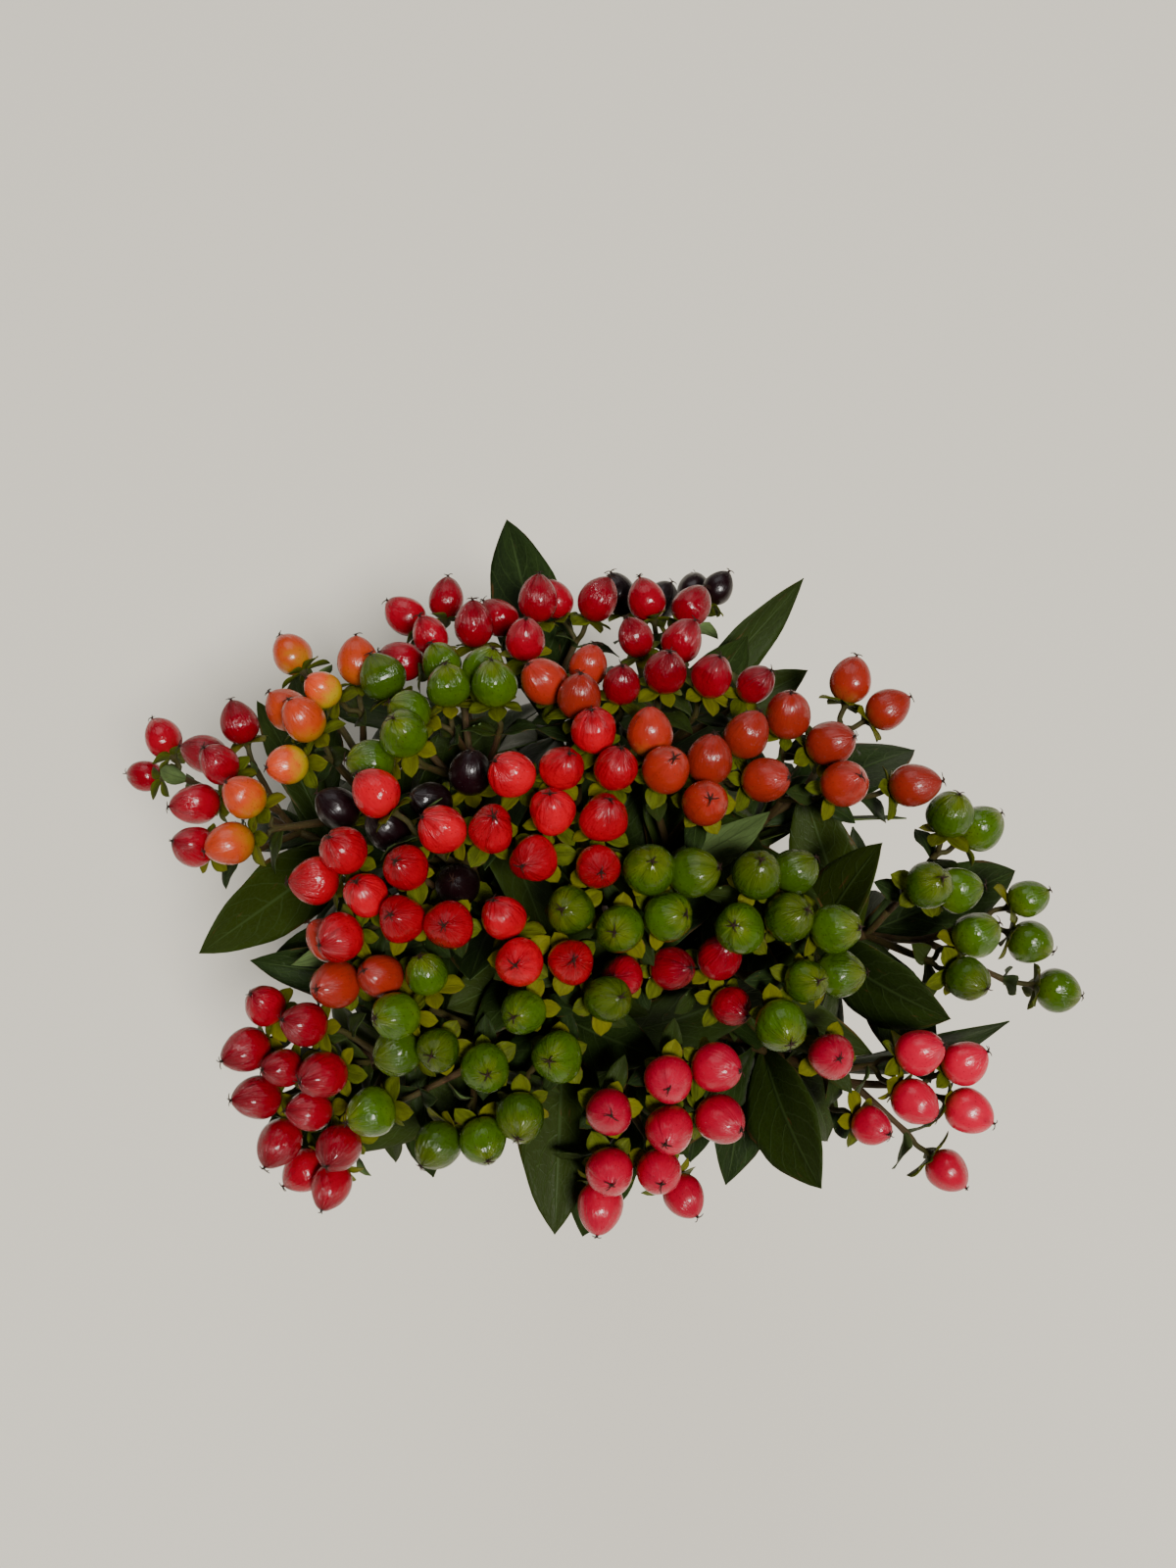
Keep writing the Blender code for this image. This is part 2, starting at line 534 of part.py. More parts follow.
def blade_grid(leaf, rows, columns):
    """Points of a leaf in rows from base to tip, each from edge to edge."""
    t, s = np.meshgrid(np.linspace(0.0, 1.0, rows), np.linspace(-1.0, 1.0, columns), indexing="ij")
    return blade_place(leaf, t, s)


def aimed(leaf, target):
    """The leaf turned and sized so that its tip reaches a place."""
    chord = target - leaf["root"]
    reach = np.linalg.norm(chord)
    way = chord / reach
    lean = leaf["bend"] / 2.0
    flat = unit(leaf["face"] - (leaf["face"] @ way) * way)
    # The tip lies at pitch + bend / 2 from the stem's own direction.
    angle = leaf["pitch"] + lean
    along = math.cos(angle) * way + math.sin(angle) * flat
    away = math.sin(angle) * way - math.cos(angle) * flat
    turned = dict(leaf, along=along, away=away)
    turned["length"] = reach * abs(lean) / math.sin(abs(lean))
    return turned


class Room:
    """What already fills the space, to tell whether one more leaf or sepal would touch it."""

    def __init__(self, tree):
        self.places, self.radii, self.stems = np.zeros((0, 3)), np.zeros(0), np.zeros(0, int)
        self.blades = []
        for a, b, start, end, radius, kind, stem in tree.limbs:
            limb = tree.points[b] - tree.points[a]
            self.fill(tree.points[a] + start * limb, tree.points[a] + end * limb, radius, stem)
        for stem, grown in enumerate(tree.stems):
            self.fill(on_spiral(grown["tie"], 0.0), tree.points[grown["path"][0]], STEM_FOOT_RADIUS, stem)

    def fill(self, start, end, radius, stem):
        """Takes up a limb, as places along it that lie close together."""
        count = 2 + int(np.linalg.norm(end - start) / PROBE_STEP)
        places = start + np.linspace(0.0, 1.0, count)[:, None] * (end - start)
        self.places = np.vstack([self.places, places])
        self.radii = np.append(self.radii, np.full(count, radius))
        self.stems = np.append(self.stems, np.full(count, stem))

    def clearance(self, places, stem, near):
        """The least distance from any of the places to what fills the space, but for what is close
        to the point near on their own stem."""
        filled, radii, stems = self.places, self.radii, self.stems
        close = np.linalg.norm(filled - places.mean(axis=0), axis=1) < radii + SEPAL_LOOK
        close &= (stems != stem) | (np.linalg.norm(filled - near, axis=1) > radii + OWN_STALK)
        if not close.any():
            return np.ones(len(places))
        far = np.linalg.norm(places[:, None] - filled[close], axis=2) - radii[close]
        return far.min(axis=1)

    def is_clear(self, blade, stem, root):
        """Whether a blade keeps its gap to everything but its own stem at its root."""
        surface = surface_tree(blade)
        edge_points = blade.reshape(-1, 3)
        middle = edge_points.mean(axis=0)
        reach = np.linalg.norm(edge_points - middle, axis=1).max()
        filled, radii, stems = self.places, self.radii, self.stems
        gaps = np.where(stems == stem, 0.5, 1.0) * LEAF_GAP + 0.5 * LEAF_THICKNESS + radii
        close = np.linalg.norm(filled - middle, axis=1) < reach + gaps
        close &= (stems != stem) | (np.linalg.norm(filled - root, axis=1) > ROOT_FREE)
        for place, gap in zip(filled[close], gaps[close]):
            if surface.find_nearest(Vector(place), gap)[0] is not None:
                return False
        for other, other_middle, other_reach, places in self.blades:
            if np.linalg.norm(other_middle - middle) > reach + other_reach + LEAF_LOOK:
                continue
            if surface.overlap(other):
                return False
            for place in places:
                if surface.find_nearest(Vector(place), LEAF_GAP + LEAF_THICKNESS)[0] is not None:
                    return False
        return True

    def take(self, blade):
        places = blade.reshape(-1, 3)
        middle = places.mean(axis=0)
        reach = np.linalg.norm(places - middle, axis=1).max()
        self.blades.append((surface_tree(blade), middle, reach, places))


def surface_tree(blade):
    """A search tree of a blade's surface."""
    rows, columns = blade.shape[:2]
    faces = []
    for row in range(rows - 1):
        for column in range(columns - 1):
            a = row * columns + column
            faces.append((a, a + 1, a + columns + 1, a + columns))
    return BVHTree.FromPolygons([Vector(place) for place in blade.reshape(-1, 3)], faces)


def stem_node(tree, grown, under):
    """The point of a stem at a distance under its fork, and the stem's direction there."""
    path = [tree.points[i] for i in grown["path"]][::-1]
    for upper, lower in zip(path, path[1:]):
        length = np.linalg.norm(upper - lower)
        if under <= length:
            return upper + (lower - upper) * under / length, unit(upper - lower)
        under -= length
    return path[-1], unit(path[-2] - path[-1])


def round_axis(place, axis, one, turn, radii):
    """Five places round an axis, one for each sepal."""
    angles = turn + np.arange(SEPALS) * math.tau / SEPALS
    ways = np.cos(angles)[:, None] * one + np.sin(angles)[:, None] * np.cross(axis, one)
    return place + ways * np.reshape(radii, (-1, 1))


def placed_calyxes(tree, room):
    """How the sepals under each berry are turned, and how far each can reach and touch nothing."""
    calyxes = {}
    for number, grown in enumerate(tree.stems):
        for fork, berries, _ in grown["forks"]:
            for berry in berries:
                axis = unit(tree.points[berry] - tree.points[fork])
                base = tree.points[berry] - axis * BERRY_HALF_LENGTH
                below = base - axis * SEPAL_DROOP
                belly = tree.points[berry] - axis * BELLY_DEPTH
                one = unit(np.cross(axis, ASKEW))
                best = None
                for turn in 0.37 * berry + np.arange(SEPAL_TURNS) * math.tau / SEPALS / SEPAL_TURNS:
                    reaches = np.full(SEPALS, SHORTEST_SEPAL)
                    for reach in np.arange(SHORTEST_SEPAL + SEPAL_STEP, 1.01, SEPAL_STEP):
                        tips = round_axis(below, axis, one, turn, SEPAL_REACH * reach)
                        flanks = round_axis(belly, axis, one, turn, BELLY_RADIUS)
                        fine = reaches > reach - 1.5 * SEPAL_STEP
                        fine &= room.clearance(tips, number, base) > SEPAL_GAP
                        fine &= room.clearance(0.6 * tips + 0.4 * flanks, number, base) > SEPAL_GAP
                        for aside in (-0.3, 0.3):
                            beside = round_axis(below, axis, one, turn + aside, 0.88 * SEPAL_REACH * reach)
                            fine &= room.clearance(beside, number, base) > SEPAL_GAP
                        reaches = np.where(fine, reach, reaches)
                    if best is None or reaches.sum() > best[0].sum():
                        best = (reaches, turn)
                reaches, turn = best
                calyxes[berry] = {"reaches": reaches, "turn": turn, "first": one}
                tips = round_axis(below, axis, one, turn, SEPAL_REACH * reaches)
                flanks = round_axis(belly, axis, one, turn, BELLY_RADIUS)
                for tip, next_tip, flank in zip(tips, np.roll(tips, 1, axis=0), flanks):
                    room.fill(base, tip, SEPAL_HALF_THICKNESS, number)
                    room.fill(tip, next_tip, SEPAL_HALF_THICKNESS, number)
                    room.fill(tip, flank, SEPAL_HALF_THICKNESS, number)
    return calyxes


def leaf_from(tree, grown, under, turn, length, half_width, pitch, bend, phase):
    """A leaf at a node of a stem, turned round it."""
    node, along = stem_node(tree, grown, under)
    level = unit(np.cross(along, (0.0, 0.0, 1.0)))
    back = np.cross(along, level)
    away = math.cos(turn) * level + math.sin(turn) * back
    return {
        "root": node, "along": along, "away": away, "length": length, "half_width": half_width,
        "pitch": pitch, "bend": bend, "phase": phase,
    }


def taken(leaf, number, room):
    """Whether there is room for a leaf, which it then takes up."""
    blade = blade_grid(leaf, PROBE_ROWS, PROBE_COLUMNS)[1:]
    if blade[..., 2].min() < TIE_HEIGHT + LEAF_ABOVE_TIE:
        return False
    if not room.is_clear(blade, number, leaf["root"]):
        return False
    room.take(blade)
    return True


def seen_leaf_choices(tree, grown, across, down, depth, under, half_width, bend, turn):
    """Ways to grow a leaf whose tip shows at a place in the picture, the likeliest first."""
    for deeper in TIPS_DEEPER:
        for lower in ROOTS_LOWER:
            for roll in LEAF_ROLLS:
                leaf = leaf_from(
                    tree, grown, max(under + lower, 0.002), 0.0, 0.05, half_width, 0.5, bend, down)
                target = on_dome(across, down, depth + deeper)
                line = sight_line(across, down)
                beside = target + ((leaf["root"] - target) @ line) * line
                spare = LONGEST_LEAF**2 - ((beside - leaf["root"]) ** 2).sum()
                past = unit(target - beside) * math.sqrt(max(spare, 0.0))
                if np.linalg.norm(target - leaf["root"]) > LONGEST_LEAF:
                    target = beside + past
                face = unit(0.4 * outward(target) - line)
                side = np.cross(unit(target - leaf["root"]), face)
                leaf["face"] = math.cos(turn + roll) * face + math.sin(turn + roll) * side
                yield aimed(leaf, target)


def paired_leaf_choices(tree, grown, under, length, half_width, pitch, bend, turn, phase):
    """Ways to grow one leaf of a pair, the likeliest first."""
    for scale in LEAF_SCALES:
        for swing in LEAF_SWINGS:
            for lift in LEAF_LIFTS:
                yield leaf_from(
                    tree, grown, under, turn + swing, length * scale, half_width * scale,
                    pitch + lift, bend, phase)


def placed_leaves(tree, room):
    """The leaves of every stem, each turned, lifted or shortened until it clears its neighbours."""
    leaves = [[] for _ in tree.stems]
    names = [grown["name"] for grown in tree.stems]
    for name, *shape in SEEN_LEAVES:
        number = names.index(name)
        for leaf in seen_leaf_choices(tree, tree.stems[number], *shape):
            if taken(leaf, number, room):
                leaves[number].append(leaf)
                break
    for layer, (under, length, half_width, pitch, bend, every) in enumerate(LEAF_PAIRS):
        for number, grown in list(enumerate(tree.stems))[::every]:
            for one_of_pair in range(2):
                turn = PAIR_TURN * number + layer * math.pi / 2.0 + one_of_pair * math.pi
                phase = WAVE_TURN * number + one_of_pair
                for leaf in paired_leaf_choices(
                        tree, grown, under, length, half_width, pitch, bend, turn, phase):
                    if taken(leaf, number, room):
                        leaves[number].append(leaf)
                        break
    return leaves


# Making the solids

def material(name, colour, roughness):
    made = bpy.data.materials.new(name)
    made.use_nodes = True
    shader = made.node_tree.nodes["Principled BSDF"]
    shader.inputs["Base Color"].default_value = (*colour, 1.0)
    shader.inputs["Roughness"].default_value = roughness
    shader.inputs["Metallic"].default_value = 0.0
    made.diffuse_color = (*colour, 1.0)
    return made


def as_object(name, form, collection, finishes):
    """An object made from a bmesh."""
    mesh = bpy.data.meshes.new(name)
    form.to_mesh(mesh)
    form.free()
    for finish in finishes:
        mesh.materials.append(finish)
    piece = bpy.data.objects.new(name, mesh)
    collection.objects.link(piece)
    return piece


def evaluated_mesh(piece):
    return bpy.data.meshes.new_from_object(piece.evaluated_get(bpy.context.evaluated_depsgraph_get()))


def tube(name, places, radii, collection, finishes):
    """A closed tube through places, each with its own radius."""
    curve = bpy.data.curves.new(name, "CURVE")
    curve.dimensions = "3D"
    curve.bevel_depth = 1.0
    curve.bevel_resolution = TUBE_RESOLUTION
    curve.use_fill_caps = True
    spline = curve.splines.new("POLY")
    spline.points.add(len(places) - 1)
    for point, place, radius in zip(spline.points, places, radii):
        point.co = (*place, 1.0)
        point.radius = radius
    guide = bpy.data.objects.new(name, curve)
    collection.objects.link(guide)
    mesh = evaluated_mesh(guide)
    form = bmesh.new()
    form.from_mesh(mesh)
    bmesh.ops.remove_doubles(form, verts=form.verts, dist=WELD)
    bpy.data.objects.remove(guide)
    bpy.data.curves.remove(curve)
    bpy.data.meshes.remove(mesh)
    return as_object(name, form, collection, finishes)


def joined(trunk, limbs):
    """One closed body made of a trunk and all that a collection holds."""
    union = trunk.modifiers.new("grown together", "BOOLEAN")
    union.operation = "UNION"
    union.operand_type = "COLLECTION"
    union.collection = limbs
    union.solver = "EXACT"
    mesh = evaluated_mesh(trunk)
    mesh.name = trunk.name
    trunk.modifiers.clear()
    trunk.data = mesh
    mesh.shade_smooth()
    mesh.set_sharp_from_angle(angle=SMOOTH_ANGLE)
    for limb in list(limbs.objects):
        bpy.data.objects.remove(limb)
    bpy.data.collections.remove(limbs)
    trunk.location = TIE_PLACE
    return trunk


def ring(place, way, one, radii, angles):
    """Places round a centre, square to a way, the first of them on the side of one."""
    first = unit(one - (one @ way) * way)
    second = np.cross(way, first)
    spokes = np.cos(angles)[:, None] * first + np.sin(angles)[:, None] * second
    return place + spokes * np.reshape(radii, (-1, 1))


def slid(places, way, place, square_to):
    """Places moved along a way on to the plane through a place and square to a direction."""
    return places + ((place - places) @ square_to / (way @ square_to))[:, None] * way


def fruit(places, fork, berry, calyx, route, collection, finishes):
    """A stalk with its calyx and berry, and the branches of a route that lead to it, in one skin."""
    axis = unit(places[berry] - places[fork])
    middle = places[berry]
    base = middle - axis * BERRY_HALF_LENGTH
    turn = calyx["turn"]
    first = math.cos(turn) * calyx["first"] + math.sin(turn) * np.cross(axis, calyx["first"])
    stalk = ring(base - axis * CALYX_DEPTH, axis, first, CALYX_FLARE * STALK_RADIUS, STALK_CORNERS)
    rings = []
    way = axis
    bends = [places[point] for point in route + [fork]]
    for place, before in zip(bends[::-1], bends[-2::-1]):
        branch = unit(place - before)
        rings.insert(0, slid(rings[0] if rings else stalk, way, place, unit(branch + way)))
        way = branch
    rings.insert(0, slid(rings[0] if rings else stalk, way, bends[0] - way * STALK_SINK, way))
    rings.append(stalk)
    flat_bands = len(rings) - 1
    rings.append(ring(base - axis * SEPAL_DROOP, axis, first, SEPAL_REACH * calyx["reaches"], ROUND))
    rings.append(ring(middle - axis * BELLY_DEPTH, axis, first, BELLY_RADIUS, ROUND))
    rings.append(ring(middle + axis * SHOULDER_HEIGHT, axis, first, SHOULDER_RADIUS, ROUND))
    form = bmesh.new()
    bmesh.ops.create_uvsphere(form, u_segments=SEPALS, v_segments=len(rings) + 1, radius=1.0)
    step = math.pi / (len(rings) + 1)
    levels = {}
    for corner in form.verts:
        level = round((math.pi - math.acos(max(-1.0, min(1.0, corner.co.z)))) / step)
        levels[corner] = level
        if level == 0:
            corner.co = Vector(rings[0][0])
        elif level > len(rings):
            corner.co = Vector(middle + axis * BERRY_HALF_LENGTH)
        else:
            side = round(math.atan2(corner.co.y, corner.co.x) * SEPALS / math.tau) % SEPALS
            corner.co = Vector(rings[level - 1][side])
    rim = flat_bands + 2
    uneven = []
    for face in form.faces:
        top = max(levels[corner] for corner in face.verts)
        if top >= rim:
            uneven.append(face)
            face.material_index = CALYX if top <= rim + 1 else BERRY
    bmesh.ops.triangulate(form, faces=uneven)
    bmesh.ops.remove_doubles(form, verts=form.verts, dist=WELD)
    return as_object("fruit", form, collection, finishes)


def leaf_blade(leaf, collection, finishes):
    """A leaf: a grid laid on its formula and given a thickness."""
    form = bmesh.new()
    last = len(LEAF_ROWS) - 1
    bmesh.ops.create_grid(form, x_segments=2, y_segments=last, size=1.0)
    for corner in form.verts:
        row = round((corner.co.y + 1.0) / 2.0 * last)
        across = 0.0 if row in (0, last) else corner.co.x
        corner.co = Vector(blade_place(leaf, LEAF_ROWS[row], across))
    bmesh.ops.remove_doubles(form, verts=form.verts, dist=WELD)
    bmesh.ops.triangulate(form, faces=form.faces)
    for face in form.faces:
        face.material_index = LEAF
    piece = as_object("leaf", form, collection, finishes)
    skin = piece.modifiers.new("thickness", "SOLIDIFY")
    skin.thickness = LEAF_THICKNESS
    skin.offset = 0.0
    return piece


def woody_stem(tree, grown, collection, finishes):
    """A stem from its cut foot up to its fork, cut level where it stands."""
    foot = on_spiral(grown["tie"], 0.0)
    places = [foot] + [tree.points[point] for point in grown["path"]]
    radii = [STEM_FOOT_RADIUS, *np.linspace(STEM_TIE_RADIUS, STEM_TOP_RADIUS, len(places) - 1)]
    stem = tube(grown["name"], places, radii, collection, finishes)
    way = unit(places[1] - foot)
    for corner in stem.data.vertices:
        if (Vector(foot) - corner.co).length < 2.0 * STEM_FOOT_RADIUS:
            corner.co -= Vector(way * corner.co.z / way[2])
            corner.co.z = 0.0
    return stem


def berry_stem(tree, number, calyxes, leaves, collection, plant, berries):
    """A stem with all that grows on it."""
    grown = tree.stems[number]
    finishes = [*plant, berries[grown["variety"]]]
    stem = woody_stem(tree, grown, collection, finishes)
    limbs = bpy.data.collections.new("limbs")
    bpy.context.scene.collection.children.link(limbs)
    for fork, cluster, route in grown["forks"]:
        for berry in cluster:
            fruit(tree.points, fork, berry, calyxes[berry], route, limbs, finishes)
            route = []
    for leaf in leaves[number]:
        leaf_blade(leaf, limbs, finishes)
    return joined(stem, limbs)


def stem_at(tree, grown, height):
    """Where a stem is at a height close to the tie."""
    start, above = (tree.points[point] for point in grown["path"][:2])
    if height <= TIE_HEIGHT:
        return on_spiral(grown["tie"], height)
    return start + (above - start) * (height - TIE_HEIGHT) / (above[2] - start[2])


def round_stems(tree, angle, height, proud):
    """The place beside the stems, taken together, on one side and at one height."""
    side = np.array((math.cos(angle), math.sin(angle), 0.0))
    outermost = max((stem_at(tree, grown, height) for grown in tree.stems), key=lambda place: place @ side)
    return outermost + side * (STEM_TIE_RADIUS + TWINE_GAP + proud)


def twine(tree, collection, finishes):
    """Turns of twine drawn tight round the stems, ending in a knot with two loose ends."""
    steps = TWINE_TURNS * TWINE_STEPS
    turns = []
    for step in range(steps + 1):
        share = step / steps
        height = TIE_HEIGHT + (share - 0.5) * TWINE_TURNS * TWINE_PITCH
        turns.append(round_stems(tree, KNOT_ANGLE + share * TWINE_TURNS * math.tau, height, TWINE_RADIUS))
    knot = round_stems(tree, KNOT_ANGLE, TIE_HEIGHT, KNOT_RADIUS)
    turns = [knot, *turns, knot]
    tie = tube("twine_tie", turns, [TWINE_RADIUS] * len(turns), collection, finishes)
    limbs = bpy.data.collections.new("limbs")
    bpy.context.scene.collection.children.link(limbs)
    form = bmesh.new()
    middle = Matrix.Translation(knot) @ Matrix.Diagonal((1.0, 1.0, TWINE_TURNS * 0.5, 1.0))
    bmesh.ops.create_uvsphere(form, u_segments=8, v_segments=6, radius=KNOT_RADIUS, matrix=middle)
    as_object("knot", form, limbs, finishes)
    for side in (-1.0, 1.0):
        angle = KNOT_ANGLE + LOOSE_END_SPREAD * side
        out = np.array((math.cos(angle), math.sin(angle), 0.0))
        end = []
        for share in (0.0, 0.3, 0.6, 0.85, 1.0):
            fall = np.array((0.0, 0.0, -LOOSE_END_FALL * LOOSE_END * share**2))
            end.append(knot + out * LOOSE_END * (share - 0.2 * share**2) + fall)
        tube("loose end", end, [TWINE_RADIUS] * len(end), limbs, finishes)
    return joined(tie, limbs)


def main():
    for piece in list(bpy.data.objects):
        bpy.data.objects.remove(piece)
    bunch = bpy.data.collections.new("hypericum_bunch")
    bpy.context.scene.collection.children.link(bunch)
    plant = [material(name, colour, 0.6) for name, colour in PLANT_COLOURS.items()]
    berries = {name: material("berry_" + name, colour, 0.3) for name, colour in BERRY_COLOURS.items()}
    tree = settled(grown_skeleton())
    room = Room(tree)
    calyxes = placed_calyxes(tree, room)
    leaves = placed_leaves(tree, room)
    for number in range(len(tree.stems)):
        berry_stem(tree, number, calyxes, leaves, bunch, plant, berries)
    twine(tree, bunch, [material("twine", TWINE_COLOUR, 0.9)])


if __name__ == "__main__":
    main()
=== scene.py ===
"""The looks of a hand-tied bunch of hypericum berry stems.

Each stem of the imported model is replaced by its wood, sepals, berries and leaves in full detail.
All of them grow where the solids stand, because the same layout is worked out here.
Lengths are in metres and angles in radians.
"""

import functools
import itertools
import math

import bmesh
import bpy
import numpy as np
from bpy.props import FloatProperty, FloatVectorProperty, PointerProperty
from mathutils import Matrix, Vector
from mathutils.bvhtree import BVHTree


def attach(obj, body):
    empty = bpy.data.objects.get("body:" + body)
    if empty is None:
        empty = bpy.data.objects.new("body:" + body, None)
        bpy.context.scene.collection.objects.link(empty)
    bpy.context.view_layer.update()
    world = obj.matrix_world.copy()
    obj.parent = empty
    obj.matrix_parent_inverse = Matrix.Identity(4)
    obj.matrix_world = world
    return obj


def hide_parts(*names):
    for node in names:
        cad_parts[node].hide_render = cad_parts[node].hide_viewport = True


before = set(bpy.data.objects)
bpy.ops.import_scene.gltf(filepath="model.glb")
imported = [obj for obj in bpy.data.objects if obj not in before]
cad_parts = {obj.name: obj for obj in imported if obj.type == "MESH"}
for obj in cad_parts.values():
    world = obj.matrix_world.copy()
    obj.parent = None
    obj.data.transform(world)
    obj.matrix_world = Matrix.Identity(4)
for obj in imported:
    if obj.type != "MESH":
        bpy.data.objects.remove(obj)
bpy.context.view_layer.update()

bl_info = {
    "name": "Hypericum bunch",
    "version": (1, 0, 0),
    "blender": (4, 5, 0),
    "location": "3D View > Sidebar > Hypericum",
    "description": "Grows a hand-tied bunch of hypericum berry stems on its packed frame",
    "category": "Add Mesh",
}

# Whole bunch
HEAD_TOP = 0.285            # height of the highest berries
HEAD_HALF_WIDTH = 0.128     # the dome of berries, left to right
HEAD_HALF_DEPTH = 0.100     # the dome of berries, front to back
HEAD_DROP = 0.062           # how far the dome has come down at its rim
SPREAD_FROM = (-0.004, -0.018, 0.19)    # the place that all the berries point away from
TIE_HEIGHT = 0.108          # height of the binding point
SPIRAL = 50.0               # turn of the stems round the axis, radians per metre near the tie
# Where the tie stands, so that the origin lies under the middle of the whole bunch
TIE_PLACE = (0.0038, -0.0161, 0.0)

# Stems and branches
STEM_FOOT_RADIUS = 0.0021
STEM_TIE_RADIUS = 0.0020
STEM_TOP_RADIUS = 0.0013
STALK_RADIUS = 0.0009       # of the berry stalks, and of the branches that they fork from
STEM_GAP = 0.00064          # least gap between neighbouring stems at the tie
LIMB_GAP = 0.0011           # least gap between limbs elsewhere
CROWN_DEPTH = 0.038         # from the middle of a spray's berries back to its fork
BRANCH_DEPTH = 0.0165       # from a cluster's berries back to their own fork
WIDEST_DIVISION = 0.034     # farthest that two clusters' forks lie apart on a shared branch
DIVISION_SHARE = 0.45       # how far along the way to them such a branch divides
SWAY_TURN = 2.4             # from one cluster's lean to the next one's, in radians
CLUSTER_SWAY = 0.18         # how far a cluster's stalks lean aside from straight outward
PATH_STEPS = 5              # straight runs that a stem's curve has between the tie and its fork

# Berries
BERRY_RADIUS = 0.0060
BERRY_HALF_LENGTH = 0.0071
BERRY_CORE = 0.0014         # half the length over which a berry has its whole thickness
BELLY_RADIUS = 0.0059       # where a berry is widest, and how far under its middle
BELLY_DEPTH = 0.0030
STALK_REACH = 0.0160        # from a cluster's fork to the middle of its berry
PAIR_HALF_STEP = 0.0067     # from the middle of a pair of berries to each of them

# Sepals
SEPALS = 5
SEPAL_REACH = 0.0080        # from the stalk's axis to a sepal's tip
SEPAL_DROOP = 0.0009        # how far a sepal's tip lies back towards the stalk
SEPAL_HALF_THICKNESS = 0.0005
SEPAL_GAP = 0.0011          # least gap between a sepal and its neighbours
SHORTEST_SEPAL = 0.3        # as a share of a whole one, where a neighbour leaves no more room
CALYX_ROOM = 0.0044         # half width of the room that a calyx takes under its berry
CALYX_SPAN = 0.00031        # height of that room

# Leaves
LEAF_THICKNESS = 0.0008
LEAF_GAP = 0.0012           # least gap between a leaf and anything but its own stem
ROOT_FREE = 0.006           # how near its root a leaf may be to its own stem
LEAF_FOLD = 0.28            # how far each half of a blade is lifted from flat, in radians
LEAF_WAVE = 0.0007          # how far a blade's edge waves
LEAF_BASE = 0.12            # a blade's width at its base, as a share of the whole
LEAF_BROAD_FROM = 0.5       # how far along its length it has reached its whole width
LEAF_TAPER_FROM = 0.3       # where it starts to taper to its tip, and how late the taper is
LEAF_TAPER_POWER = 2.8
LEAF_ABOVE_TIE = 0.014      # the stems are bare up to this far above the tie
LONGEST_LEAF = 0.072
PAIR_TURN = 0.9             # from one stem's leaf pairs to the next one's, in radians
WAVE_TURN = 2.4             # from one stem's leaf edges to the next one's, in radians
# Pairs of leaves: distance under the fork, length, half width, pitch, bend, and which stems have them
LEAF_PAIRS = [
    (0.032, 0.050, 0.0110, 0.80, 0.95, 1),
    (0.006, 0.034, 0.0072, 0.75, 0.75, 2),
]

# What is tried in turn where a leaf has no room: for one that shows in the picture, how much deeper
# its tip lies, how much lower it grows and how its face rolls; for one of a pair, its size as a
# share, how far it swings round its stem and how far it lifts
SEEN_TRIES = (
    (0.0, 0.004, -0.004, 0.008, -0.008, 0.013, 0.018, 0.024),
    (0.0, 0.006, 0.012, 0.02, -0.004),
    (0.0, 0.4, -0.4, 0.8, -0.8))
LEAF_TRIES = (
    (1.0, 0.84, 0.7),
    (0.0, 0.25, -0.25, 0.5, -0.5, 0.8, -0.8),
    (0.0, -0.25, 0.3, 0.55))

# The twine: wound round the stems, with a knot and two loose ends
TWINE_RADIUS = 0.0010
TWINE_TURNS = 3
TWINE_PITCH = 0.0024
TWINE_GAP = 0.0007          # between the twine and the stems
KNOT_ANGLE = math.radians(-80.0)
KNOT_RADIUS = 0.0025
LOOSE_END = 0.022           # length of each loose end
LOOSE_END_FALL = 0.55       # how far it falls, as a share of its length
LOOSE_END_SPREAD = 0.5      # how far it turns aside from the knot, in radians

# The picture: its middle and its focal length in dots, and how it looks down on the bunch
PICTURE_MIDDLE = (600.0, 800.0)
PICTURE_FOCUS = 1500.0
VIEW_ELEVATION = math.radians(72.0)
HEAD_TOP_SEEN = (606.0, 845.0)          # where the top of the head shows
VIEW_DISTANCE = 0.345       # from the view point to the top of the head

